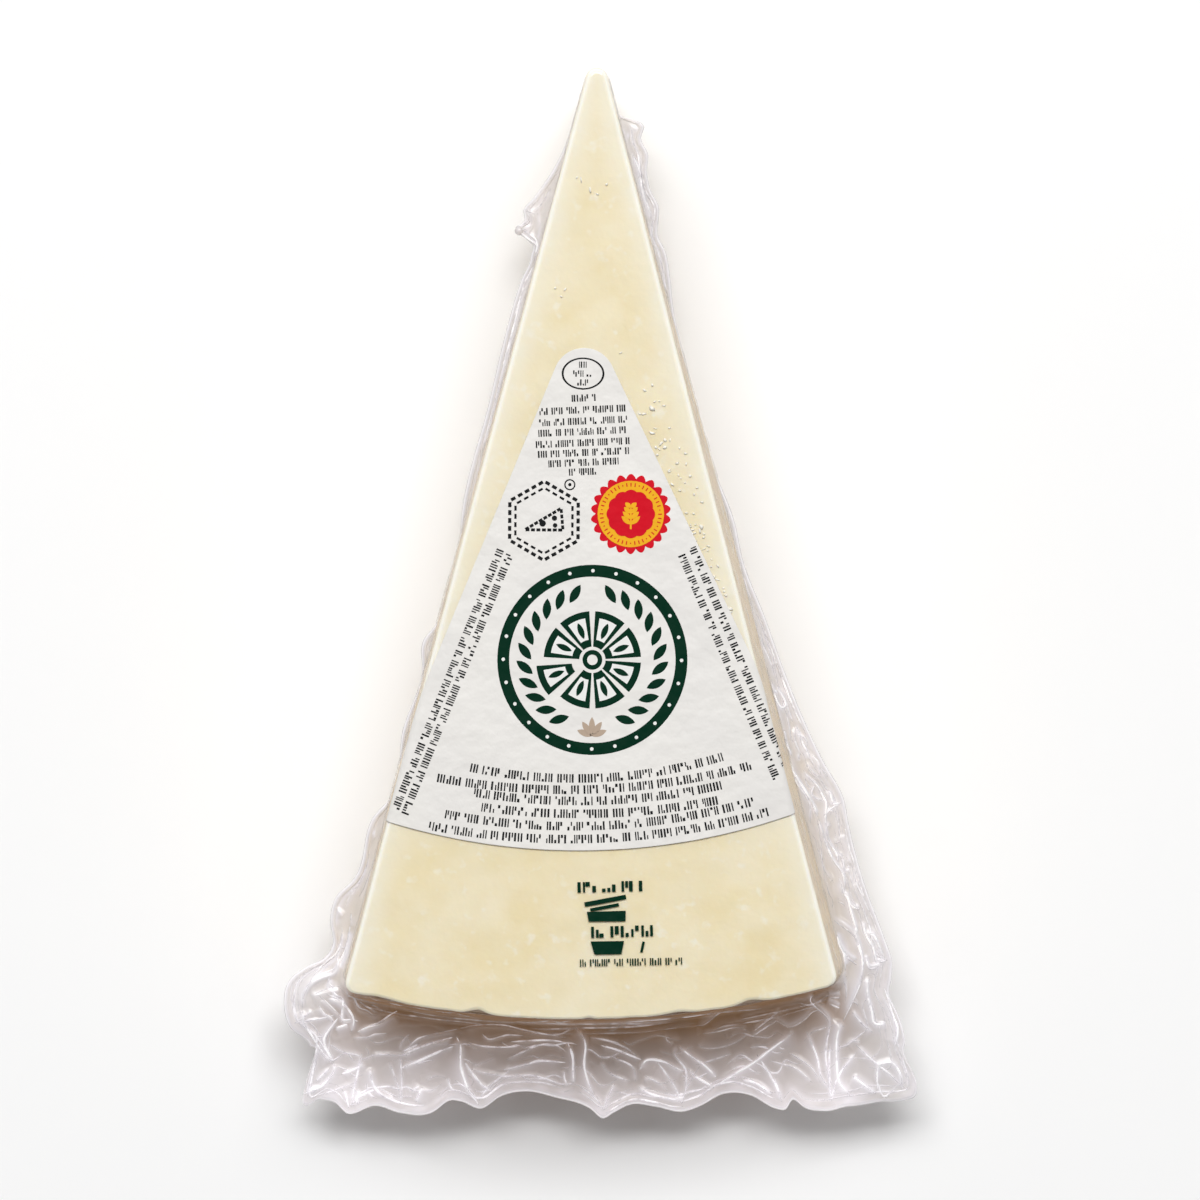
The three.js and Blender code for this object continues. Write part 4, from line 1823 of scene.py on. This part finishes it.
    def build(self) -> bpy.types.Object:
        """Makes the skirt.

        Returns:
            The finished object.
        """
        edge = self.reach - self.rim
        turn = np.linspace(math.pi / 2, -math.pi / 2, self.rim_rows + 2)[1:-1, None]
        rim_out = edge + self.rim * np.cos(turn)
        rim_z = self._middle(edge * np.ones_like(turn)) + self.rim * np.sin(turn)
        # painted highlight: a bright line where the rolled rim tilts towards the lamps
        rim_highlight = 0.3 + 0.7 * np.exp(-(((turn - 0.75) / 0.35) ** 2)) + 0 * rim_out
        under = [part[::-1] for part in self._sheet(self.under_rows, -1)]
        parts = zip(self._sheet(self.rows, 1), (rim_out, rim_z, rim_highlight), under)
        out, z, crest = (np.concatenate(part) for part in parts)
        x, r = self.at.outward(out)
        beyond = np.maximum(out - self.root, 0)
        r = self.wedge.skewed(x, r, 1 - smoothstep(beyond, 1.0, 9.0))
        # painted shade near the rind's wall, over the rind seen through
        rind = np.exp(-((beyond / 7.0) ** 1.5)) * smoothstep(self.at.rind, 0.35, 1.0)
        # painted bounce light from the cheese beside the side walls
        paste = 0.75 * np.exp(-((beyond / 4.0) ** 2)) * (1 - smoothstep(self.at.rind, 0.2, 0.9))
        paste = paste * (0.3 + 0.7 * smoothstep(r, 80.0, 115.0))
        count = out.size
        faces = [tuple(i % count for i in face) for face in strip(len(out) + 1, out.shape[1])]
        self._knob()
        # the shade share that drives the film's painted glow
        shaded = self.shade(x, r)
        points = self.wedge.world(x, r, np.maximum(z, 0.6))
        looks = {"crest": np.clip(crest, 0, 1), "rind": rind, "paste": paste, "shaded": shaded}
        upper = BVHTree.FromPolygons(points.tolist(), faces[: (self.rows - 1) * out.shape[1]])
        beads = Beads(self.wedge, upper, self.noises[0], self.shade)
        for crease in self.creases:
            beads.add(crease)
        beads.build()
        piece = Piece("film_skirt", points, faces, looks)
        return piece.build(FilmFinish().make(), Slot.FILM, "vacuum_pack")

    def shade(self, x: Array, r: Array) -> Array:
        """How far plan points lie in the shade of the rind's wall."""
        deep = smoothstep(np.hypot(x, r), self.wedge.wheel_radius - 8, self.wedge.wheel_radius + 2)
        return deep * (1 - 0.75 * smoothstep(np.degrees(np.arctan2(np.abs(x), r)), 12.5, 16.5))

    def _knob(self) -> None:
        """Makes the small round knob of film that stands out left of the tip."""
        walk = self.wedge.walk(Section.LEFT, self.knob_at)
        out = float(self.reach_at(np.array([walk]))[0]) - self.knob_inset
        ((x, r),) = self.folds.place([walk], [out])
        rows, around = 9, 16
        tilt = np.linspace(0.02, math.pi - 0.02, rows)[:, None]
        turn = -np.linspace(0, 2 * math.pi, around, endpoint=False)
        radius = self.knob_radius
        middle = self.wedge.skirt_z - self.droop * out
        points = self.wedge.world(
            x + radius * np.sin(tilt) * np.cos(turn),
            r + radius * np.sin(tilt) * np.sin(turn),
            middle + 0.4 + 0.9 * radius * np.cos(tilt) + 0 * turn,
        )
        faces = strip(rows, around)
        faces += [tuple(range(around))[::-1], tuple(range((rows - 1) * around, rows * around))]
        # painted highlight: whiter at the knob's top and in a band low on its side
        crest = np.broadcast_to(0.25 + 0.25 * np.cos(3 * tilt), (rows, around))
        piece = Piece("film_knob", points, faces, {"crest": crest})
        piece.build(FilmFinish().make(), Slot.FILM, "vacuum_pack")


# ---------------------------------------------------------------------------------------------
# The label and its print


@dataclass
class Label:
    """The rounded triangular label, laid on the face and over its edges."""

    wedge: Wedge
    top: Pair = (-1.8, 47.9)
    tilt: float = math.radians(2.0)
    half_angle: float = math.radians(24.0)
    top_radius: float = 4.7
    length: float = 76.4
    bottom_radius: float = 98.6
    lift: float = 0.02
    thickness: float = 0.07
    rows: int = 140
    columns: int = 181
    noise: Noise = field(default_factory=lambda: Noise(51))

    def half_width(self, below: Array) -> Array:
        """Half the flat label's width at a distance below its top.

        Args:
            below: the distance.

        Returns:
            Half the width there.
        """
        apex = self.top_radius * (1 / math.sin(self.half_angle) - 1)
        rounded = self.top_radius * (1 - math.sin(self.half_angle))
        arc = self.top_radius**2 - (self.top_radius - np.minimum(below, rounded)) ** 2
        straight = (below + apex) * math.tan(self.half_angle)
        return np.where(below > rounded, straight, np.sqrt(np.maximum(arc, 0)))

    def end(self, share: Array) -> Array:
        """How far below its top the label ends, in columns at shares of its half width.

        Args:
            share: the shares.

        Returns:
            The distances, column by column.
        """
        below = np.full(share.shape, self.length)
        for _ in range(8):
            across = share * self.half_width(below)
            sagitta = self.bottom_radius - np.sqrt(self.bottom_radius**2 - across**2)
            below = self.length - sagitta
        return below

    def bend_start(self, r: Any) -> Any:
        """Distance from the middle line where the face starts to round over."""
        return r * math.tan(self.wedge.half_angle) - self.wedge.edge_radius

    def lay(self, x: Array, r: Array, height: Array) -> Array:
        """Lays flat plan points on the face, and over its edge where they pass it.

        Args:
            x: flat plan coordinates.
            r: flat plan coordinates.
            height: distance over the cheese.

        Returns:
            The points in the frame, in metres.
        """
        wedge, edge = self.wedge, self.wedge.edge_radius
        centre = self.bend_start(r)
        past = np.abs(x) - centre
        angle = np.clip(past / edge, 0, math.pi / 2)
        down = np.maximum(past - edge * math.pi / 2, 0)
        flat = past <= 0
        out = np.where(flat, np.abs(x), centre + (edge + height) * np.sin(angle))
        z = wedge.thickness - edge + (edge + height) * np.cos(angle) - down
        z = z + 0.05 * self.noise.value(x / 5.0, r / 5.0)
        return wedge.world(np.sign(x) * out, r, z)

    def build(self) -> bpy.types.Object:
        """Makes the label.

        Returns:
            The finished object.
        """
        u = np.linspace(-1, 1, self.columns)
        u = np.sign(u) * np.abs(u) ** 0.75
        u[[1, -2]] = (-0.998, 0.998)
        share = np.linspace(0.0008, 1, self.rows)[:, None] ** 1.3
        share[-2] = 0.9985
        below = share * self.end(u)
        across = u * self.half_width(below)
        x = self.top[0] + across * math.cos(self.tilt) + below * math.sin(self.tilt)
        r = self.top[1] + below * math.cos(self.tilt) - across * math.sin(self.tilt)
        upper = self.lay(x, r, self.lift + self.thickness)
        lower = self.lay(x, r, self.lift)
        count = x.size
        faces = sheet(self.rows, self.columns)
        faces += [tuple(count + i for i in face[::-1]) for face in faces]
        grid = np.arange(count).reshape(x.shape)
        border = [*grid[0], *grid[1:, -1], *grid[-1, -2::-1], *grid[-2:0:-1, 0]]
        for a, b in zip(border, border[1:] + border[:1]):
            faces.append((int(a), int(b), int(b) + count, int(a) + count))
        piece = Piece("label_sheet", np.vstack([upper, lower]), faces, flat_end=len(border))
        return piece.build(PaperFinish().make(), Slot.PAPER, "label")


@dataclass
class AirSpecks:
    """Small flat bubbles caught under the film, most of them right of the label."""

    label: Label
    count: int = 70
    depth: float = 0.12
    cover: float = 0.055
    sides: int = 10
    seed: int = 71
    first_r: float = 52.0
    stretch: float = 42.0
    upper: tuple[Pair, ...] = ((-2.9, 22.0), (-2.3, 22.3), (0.2, 24.5), (-0.9, 23.9), (1.6, 23.0),
                               (-6.1, 38.8), (-4.6, 39.0), (-5.2, 40.1), (3.9, 48.6))

    def places(self, rng: np.random.Generator) -> list[Pair]:
        """Plan points of the bubbles.

        Args:
            rng: where the random ones come from.

        Returns:
            The points.
        """
        label, wedge = self.label, self.label.wedge
        made = list(self.upper)
        for _ in range(self.count):
            r = self.first_r + self.stretch * rng.beta(1.6, 1.8)
            paper = label.top[0] + float(label.half_width(np.array(r - label.top[1])))
            edge = r * math.tan(wedge.half_angle)
            made.append((rng.uniform(paper + 0.9, max(paper + 1.1, edge - 2.0)), r))
        return [place for place in made if place[0] < place[1] * math.tan(wedge.half_angle) - 1.2]

    def build(self) -> bpy.types.Object:
        """Makes the bubbles, joined in one mesh.

        Returns:
            The finished object.
        """
        rng = np.random.default_rng(self.seed)
        wedge = self.label.wedge
        turn = np.linspace(0, 2 * math.pi, self.sides, endpoint=False)
        points, faces = [], []
        top = wedge.thickness - self.cover
        for x, r in self.places(rng):
            size = 0.8 + 0.9 * rng.random() ** 3
            long, short = size * rng.uniform(0.16, 0.34), size * rng.uniform(0.1, 0.2)
            angle, first = rng.uniform(0, math.pi), len(points) * (2 * self.sides + 1)
            wobble = 1 + 0.25 * np.sin(2 * turn + rng.uniform(0, 6))
            wobble = wobble + 0.15 * np.sin(3 * turn + rng.uniform(0, 6))
            rows = []
            for share, drop in ((0.7, self.depth), (1.0, 0.0)):
                u, v = long * share * wobble * np.cos(turn), short * share * wobble * np.sin(turn)
                dx = u * math.cos(angle) - v * math.sin(angle)
                dr = u * math.sin(angle) + v * math.cos(angle)
                rows.append(wedge.world(x + dx, r + dr, np.full(turn.shape, top - drop)))
            rows.append(wedge.world(np.array([x]), np.array([r]), np.array([top + 0.01])))
            points.append(np.vstack(rows))
            faces += [tuple(face[::-1]) for face in strip(2, self.sides, first)]
            crown = first + self.sides
            for i in range(self.sides):
                after = (i + 1) % self.sides
                faces.append((first + 2 * self.sides, crown + after, crown + i))
            faces.append(tuple(first + i for i in range(self.sides)))
        piece = Piece("air_specks", np.vstack(points), faces)
        return piece.build(SpeckFinish().make(), Slot.FILM, "vacuum_pack")


@dataclass
class Ink:
    """All the print of one colour, as thin flat shapes on the label or the film."""

    label: Label
    name: str
    colour: tuple
    level: int = 0
    bend_cuts: int = 5
    points: list[Array] = field(default_factory=list)
    faces: list[tuple[int, ...]] = field(default_factory=list)

    def polygon(self, corners: Array) -> None:
        """Adds one flat shape through plan points.

        Args:
            corners: the points, one row each.
        """
        first = sum(len(part) for part in self.points)
        self.points.append(np.asarray(corners, float))
        self.faces.append(tuple(range(first, first + len(corners))))

    def bar(self, centre: Pair, length: float, thick: float, angle: float = 0.0) -> None:
        """Adds a straight bar, turned by an angle from the right towards the rind.

        Args:
            centre: plan point.
            length: size along the bar's own direction.
            thick: size across it.
            angle: the turn, in radians.
        """
        along = np.array([math.cos(angle), math.sin(angle)]) * length / 2
        across = np.array([-math.sin(angle), math.cos(angle)]) * thick / 2
        if length < thick:
            along, across = across, along
        bent = abs(centre[0]) > self.label.bend_start(centre[1]) - max(length, thick)
        cuts = np.linspace(-1, 1, self.bend_cuts + 1 if bent else 2)
        for a, b in zip(cuts, cuts[1:]):
            corners = [along * a - across, along * b - across, along * b + across, along * a + across]
            self.polygon(np.array(centre) + np.array(corners))

    def ring(
        self, centre: Pair, outer: float, inner: float, span: Pair = (0, 360), flat: float = 1.0
    ) -> None:
        """Adds a ring, or the part of it between two bearings in degrees.

        Args:
            centre: plan point.
            outer: outer radius.
            inner: inner radius.
            span: bearings, clockwise from the rind's direction.
            flat: height as a share of width, for an oval.
        """
        steps = max(6, int(abs(span[1] - span[0]) / 4))
        angles = np.radians(np.linspace(span[0], span[1], steps + 1))
        unit = np.stack([np.sin(angles), np.cos(angles) * flat], axis=1)
        for a, b in zip(unit, unit[1:]):
            corners = [a * inner, b * inner, b * outer, a * outer]
            self.polygon(np.array(centre) + np.array(corners))

    def disc(self, centre: Pair, radius: float, lobes: int = 0, depth: float = 0.0) -> None:
        """Adds a disc, with a scalloped edge if it has lobes.

        Args:
            centre: plan point.
            radius: outer radius.
            lobes: how many scallops the edge has.
            depth: how deep they are cut.
        """
        steps = max(40, lobes * 8)
        angles = np.linspace(0, 2 * math.pi, steps, endpoint=False)
        size = radius - depth * (1 - np.abs(np.cos(angles * lobes / 2)))
        rim = np.array(centre) + np.stack([np.sin(angles), np.cos(angles)], 1) * size[:, None]
        for a, b in zip(rim, np.roll(rim, -1, axis=0)):
            self.polygon(np.array([centre, a, b]))

    def leaf(self, base: Pair, angle: float, length: float, width: float) -> None:
        """Adds a pointed leaf from its base, turned from the right towards the rind.

        Args:
            base: plan point.
            angle: the turn, in radians.
            length: size from base to point.
            width: size across the middle.
        """
        t = np.linspace(0, 1, 9)
        half = width / 2 * np.sin(math.pi * t) ** 0.8
        along = np.array([math.cos(angle), math.sin(angle)])
        across = np.array([-math.sin(angle), math.cos(angle)])
        spine = np.array(base) + np.outer(t * length, along)
        left, right = spine + np.outer(half, across), spine - np.outer(half, across)
        self.polygon(np.vstack([left, right[-2:0:-1]]))

    def words(
        self,
        start: Pair,
        end: Pair,
        height: float,
        sag: float = 0.0,
        seed: int = 0,
        weight: float = 1.0,
    ) -> None:
        """Adds a line of fine print as rows of short upright strokes.

        Args:
            start: plan point of the line's start.
            end: plan point of its end.
            height: height of the strokes.
            sag: how far the middle hangs below the chord.
            seed: picks the strokes.
            weight: how bold the strokes are.
        """
        rng = np.random.default_rng(seed)
        chord = np.array(end) - np.array(start)
        length = float(np.hypot(*chord))
        side = np.array([-chord[1], chord[0]]) / length
        place, left = 0.0, int(rng.integers(3, 9))
        while place < length:
            width = height * rng.uniform(0.13, 0.24) * weight
            t = place / length
            centre = np.array(start) + chord * t + side * sag * 4 * t * (1 - t)
            slope = math.atan2(chord[1], chord[0]) + math.atan(4 * sag * (1 - 2 * t) / length)
            tall = height * (1.0 if rng.random() < 0.6 else rng.uniform(0.3, 0.75))
            shift = side * rng.choice([-1, 1]) * (height - tall) / 2
            if tall < 0.45 * height:
                width = 1.3 * width
            self.bar(tuple(centre + shift), width, tall, slope)
            place += width + height * rng.uniform(0.11, 0.19)
            left -= 1
            if left == 0:
                place += 0.4 * height
                left = int(rng.integers(3, 10))

    def dashes(self, corners: Sequence[Pair], dash: float, gap: float, thick: float) -> None:
        """Adds a closed dashed line round the corners.

        Args:
            corners: plan points.
            dash: length of a dash.
            gap: length of a gap.
            thick: width of the line.
        """
        for a, b in zip(corners, [*corners[1:], corners[0]]):
            chord = np.array(b) - np.array(a)
            length = float(np.hypot(*chord))
            count = max(1, round(length / (dash + gap)))
            for i in range(count):
                centre = np.array(a) + chord * (i + 0.5) / count
                self.bar(tuple(centre), dash, thick, math.atan2(chord[1], chord[0]))

    def build(self) -> bpy.types.Object:
        """Makes the print of this colour.

        Returns:
            The finished object.
        """
        flat = np.vstack(self.points)
        height = self.label.lift + self.label.thickness + 0.03 * (1 + self.level)
        points = self.label.lay(flat[:, 0], flat[:, 1], np.full(len(flat), height))
        piece = Piece(self.name, points, self.faces, smooth=False)
        return piece.build(InkFinish(self.name, self.colour).make(), Slot.INK, "label")


class Print:
    """The label's whole print, in its nine inks, with a disposal mark on the film below."""

    EMBLEM: Pair = (-0.1, 95.3)
    SEAL: Pair = (5.6, 73.1)
    MARK: Pair = (-7.6, 74.2)
    OVAL: Pair = (-1.8, 51.8)

    def __init__(self, label: Label) -> None:
        """Opens the inks.

        Args:
            label: the label that carries the print.
        """
        self.black = Ink(label, "print_black", (0.012, 0.013, 0.014))
        self.green = Ink(label, "print_green", (0.001, 0.025, 0.012))
        self.deep = Ink(label, "print_deep_green", self.green.colour, level=3)
        self.red = Ink(label, "print_red", (0.62, 0.008, 0.02))
        self.yellow = Ink(label, "print_yellow", (0.83, 0.42, 0.02), level=1)
        self.tan = Ink(label, "print_tan", (0.45, 0.35, 0.27))
        self.white = Ink(label, "print_white", (0.8, 0.8, 0.78), level=2)
        self.crimson = Ink(label, "print_crimson", (0.62, 0.008, 0.02), level=2)
        self.gold = Ink(label, "print_gold", self.yellow.colour, level=3)

    def oval(self) -> None:
        """An oval stamp with three short rows."""
        self.black.ring(self.OVAL, 3.25, 2.95, flat=0.75)
        for i, width in enumerate((1.1, 2.8, 1.5)):
            x, r = self.OVAL[0], self.OVAL[1] - 1.35 + 1.35 * i
            self.black.words((x - width / 2, r), (x + width / 2, r), 0.95, seed=60 + i)

    def head_lines(self) -> None:
        """The block of fine print near the label's top."""
        rows = ((55.5, 3.6), (57.3, 13.4), (59, 13.4), (60.6, 13.7), (62.3, 14.4),
                (63.8, 13.7), (65.3, 10.6), (66.7, 4.3))
        for i, (r, width) in enumerate(rows):
            rise = 0.05 * width / 2
            start, end = (-1.6 - width / 2, r + rise), (-1.6 + width / 2, r - rise)
            self.black.words(start, end, 1.05, seed=100 + i)

    def side_lines(self) -> None:
        """The fine print that runs down both edges of the label."""
        lines = (((-14.2, 78.7), (-29.8, 118.0)), ((-12.6, 79.0), (-28.4, 118.8)),
                 ((29.4, 111.1), (15.0, 78.2)), ((28.1, 113.4), (13.4, 79.4)))
        for i, (start, end) in enumerate(lines):
            self.black.words(end, start, 1.15, seed=140 + i)

    def foot_lines(self) -> None:
        """The six sagging rows along the label's lower edge."""
        rows = (((-18.4, 111.8), (19.7, 109.9), 2.4), ((-23.4, 113.4), (24.4, 111.1), 2.7),
                ((-17.8, 115.6), (19.7, 114.2), 1.8), ((-16.7, 117.8), (19.1, 116.5), 1.5),
                ((-22.2, 118.9), (24.3, 116.7), 2.7), ((-24.6, 120.7), (26.8, 118.2), 3.0))
        for i, (start, end, sag) in enumerate(rows):
            self.black.words(start, end, 1.3, sag, seed=160 + i)

    def mark(self) -> None:
        """A dashed hexagon with a plain wedge in it, and a small ring beside it."""
        for radius, thick in ((6.0, 0.5), (5.0, 0.35)):
            corners = [
                (self.MARK[0] + radius * math.sin(a), self.MARK[1] + radius * math.cos(a))
                for a in np.radians(np.arange(0, 360, 60))
            ]
            self.black.dashes(corners, 0.75, 0.4, thick)
        x, r = self.MARK
        wedge = [(x - 2.9, r + 1.4), (x + 2.6, r - 1.9), (x + 2.9, r + 1.4)]
        self.black.dashes(wedge, 0.6, 0.25, 0.45)
        for dx, dr, size in ((-0.2, 0.4, 0.5), (1.6, -0.4, 0.4), (1.7, 0.7, 0.35)):
            self.black.disc((x + dx, r + dr), size)
        self.black.ring((-3.7, 68.7), 0.85, 0.65)
        self.black.disc((-3.7, 68.7), 0.25)

    def seal(self) -> None:
        """A scalloped red seal with a yellow band and an ear of grain."""
        self.red.disc(self.SEAL, 6.1, lobes=22, depth=0.75)
        self.yellow.disc(self.SEAL, 5.05)
        self.crimson.disc(self.SEAL, 3.7, lobes=12, depth=0.25)
        x, r = self.SEAL
        for i in range(44):
            angle = math.radians(i * 360 / 44)
            centre = (x + 4.45 * math.sin(angle), r + 4.45 * math.cos(angle))
            self.crimson.bar(centre, 0.16, 0.55 if i % 4 else 0.2, -angle)
        self.gold.bar((x, r + 0.7), 0.28, 3.2)
        for step in range(4):
            for hand in (-1, 1):
                base = (x, r + 1.6 - 0.85 * step)
                self.gold.leaf(base, math.radians(-90 + hand * 48), 1.9 - 0.25 * step, 0.75)

    def emblem(self) -> None:
        """A beaded green ring with a tied wreath round a cut wheel of cheese."""
        x, r = self.EMBLEM
        self.green.ring(self.EMBLEM, 14.45, 12.65)
        for bearing in np.radians(np.arange(0, 360, 15)):
            self.white.disc((x + 13.55 * math.sin(bearing), r + 13.55 * math.cos(bearing)), 0.27)
        for i in range(11):
            for hand in (-1, 1):
                bearing = math.radians(lerp(22, 158, i / 10)) * hand
                base = (x + 9.3 * math.sin(bearing), r + 9.3 * math.cos(bearing))
                heading = math.pi / 2 - bearing - hand * math.radians(52)
                self.green.leaf(base, heading, 3.2, 1.3)
        for k in range(-2, 3):
            spread = k * math.radians(34)
            self.tan.leaf((x, r + 11.6), spread - math.pi / 2, 2.9 - 0.25 * abs(k), 0.95)
        for i in range(8):
            start = i * 45 + 4
            turn = math.radians(start + 18)
            shift = 1.2 if i == 6 else 0.0
            centre = (x + shift * math.sin(turn), r + shift * math.cos(turn))
            self.green.ring(centre, 7.4, 2.0, (start, start + 38))
            inner = (centre[0] + 0.4 * math.sin(turn), centre[1] + 0.4 * math.cos(turn))
            self.white.ring(inner, 6.0, 2.7, (start + 5.5, start + 32.5))
            self.deep.leaf(
                (x + (3.4 + shift) * math.sin(turn), r + (3.4 + shift) * math.cos(turn)),
                math.pi / 2 - turn, 2.6, 0.9,
            )
        self.green.ring(self.EMBLEM, 1.5, 0.8)

    def disposal(self) -> None:
        """A green bin with its lid ajar, between short rows, printed on the film."""
        self.green.words((-1.9, 129.9), (8.1, 129.6), 1.6, seed=210, weight=1.5)
        self.green.bar((2.1, 131.9), 6.4, 0.7, math.radians(-11))
        self.green.bar((2.0, 132.9), 4.4, 0.5, math.radians(-11))
        self.green.polygon(np.array([(-0.7, 133.6), (5.2, 133.4), (5.2, 135.0), (-0.4, 135.1)]))
        self.green.words((0.2, 136.7), (9.3, 136.4), 1.7, seed=211, weight=1.5)
        self.green.polygon(np.array([(-0.1, 138.1), (5.0, 138.0), (4.6, 140.0), (0.5, 140.1)]))
        self.green.bar((7.8, 138.9), 0.4, 1.7, math.radians(12))
        self.green.words((-1.6, 141.4), (14.0, 141.0), 1.1, seed=212)

    def build(self) -> None:
        """Draws everything and makes the inks."""
        self.oval()
        self.head_lines()
        self.side_lines()
        self.foot_lines()
        self.mark()
        self.seal()
        self.emblem()
        self.disposal()
        for ink in (self.black, self.green, self.red, self.yellow, self.tan, self.white,
                    self.crimson, self.gold, self.deep):
            ink.build()


# ---------------------------------------------------------------------------------------------
# The studio


@dataclass(frozen=True)
class Softbox:
    """A flat lamp aimed at the pack."""

    name: str
    azimuth: float
    elevation: float
    distance: float
    size: Pair
    power: float

    def build(self) -> None:
        """Hangs the lamp."""
        lamp = bpy.data.lights.new(self.name, "AREA")
        lamp.shape = "RECTANGLE"
        lamp.size, lamp.size_y = self.size
        lamp.energy = self.power
        thing = bpy.data.objects.new(self.name, lamp)
        bpy.context.scene.collection.objects.link(thing)
        azimuth, elevation = math.radians(self.azimuth), math.radians(self.elevation)
        thing.location = (
            self.distance * math.cos(elevation) * math.cos(azimuth),
            self.distance * math.cos(elevation) * math.sin(azimuth),
            self.distance * math.sin(elevation),
        )
        thing.rotation_euler = (math.pi / 2 - elevation, 0, azimuth + math.pi / 2)


@dataclass
class Studio:
    """A pale floor, soft lamps and a camera that looks straight down."""

    wedge: Wedge
    eye: Eye = Eye()
    zenith: float = 0.06
    horizon: float = 0.46
    ceiling_fade: Pair = (0.3, 0.6)
    floor_half: float = 2.0
    floor_tones: tuple[tuple, tuple] = ((0.93, 0.93, 0.93), (0.94, 0.94, 0.94))
    boxes: tuple[Softbox, ...] = (
        Softbox("key", 92, 62, 2.0, (1.7, 0.8), 42.0),
        Softbox("left strip", 165, 60, 2.0, (1.2, 0.14), 1.7),
        Softbox("right strip", 15, 60, 2.0, (1.2, 0.14), 1.7),
        Softbox("foot strip", -90, 58, 2.0, (1.2, 0.14), 0.3),
    )

    def build(self) -> None:
        """Sets the stage."""
        scene = bpy.context.scene
        scene.view_settings.view_transform = "Standard"
        self._floor(scene)
        scene.world = self._sky()
        for box in self.boxes:
            box.build()
        scene.camera = self._camera(scene)

    def _floor(self, scene: bpy.types.Scene) -> None:
        """Lays the floor.

        Args:
            scene: what it is laid in.
        """
        graph = Graph(bpy.data.materials.new("pale_floor"))
        tone = graph.mix(graph.noise(3.0).between(0.3, 0.7), *self.floor_tones)
        material = graph.surface(Base_Color=tone, Roughness=0.9, Specular_IOR_Level=0.0)
        half = self.floor_half
        mesh = bpy.data.meshes.new("floor")
        corners = [(-half, -half, 0), (half, -half, 0), (half, half, 0), (-half, half, 0)]
        mesh.from_pydata(corners, [], [(0, 1, 2, 3)])
        mesh.materials.append(material)
        floor = bpy.data.objects.new("floor", mesh)
        scene.collection.objects.link(floor)

    def _sky(self) -> bpy.types.World:
        """Makes the room's light fall off from the walls to the ceiling.

        Returns:
            The sky.
        """
        graph = Graph(bpy.data.worlds.new("soft_sky"))
        place = graph.node("ShaderNodeTexCoord", {}).outputs["Generated"]
        level = graph.node(
            "ShaderNodeMapRange",
            {},
            Value=graph.node("ShaderNodeSeparateXYZ", {}, in0=place).outputs["Z"],
            From_Min=self.ceiling_fade[0],
            From_Max=self.ceiling_fade[1],
            To_Min=self.horizon,
            To_Max=self.zenith,
        )
        light = graph.node(
            "ShaderNodeBackground", {}, Color=(1, 1, 1, 1), Strength=level.outputs[0]
        )
        graph.node("ShaderNodeOutputWorld", {}, Surface=light.outputs[0])
        return graph.owner

    def _camera(self, scene: bpy.types.Scene) -> bpy.types.Object:
        """Hangs the camera over the pack.

        Args:
            scene: what it is hung in.

        Returns:
            The camera.
        """
        camera = bpy.data.cameras.new("camera")
        camera.sensor_width = 36.0
        camera.lens = camera.sensor_width * self.eye.height / self.eye.view_width
        camera.clip_start = 0.01
        thing = bpy.data.objects.new("camera", camera)
        scene.collection.objects.link(thing)
        height = self.wedge.thickness + self.eye.height
        thing.location = self.wedge.world(*map(np.array, (*self.eye.centre, height)))[0]
        thing.rotation_euler = (0, 0, self.eye.roll)
        return thing


def report_size() -> None:
    """Brings the view layer up to date."""
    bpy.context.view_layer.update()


def main() -> None:
    """Builds the pack and its studio, in order."""
    logging.basicConfig(level=logging.INFO, format="%(name)s: %(message)s")
    wedge = Wedge()
    Studio(wedge).build()
    Cheese(wedge).build()
    Cover(wedge).build()
    Skirt(wedge).build()
    label = Label(wedge)
    label.build()
    AirSpecks(label).build()
    Print(label).build()
    report_size()


if __name__ == "__main__":
    main()
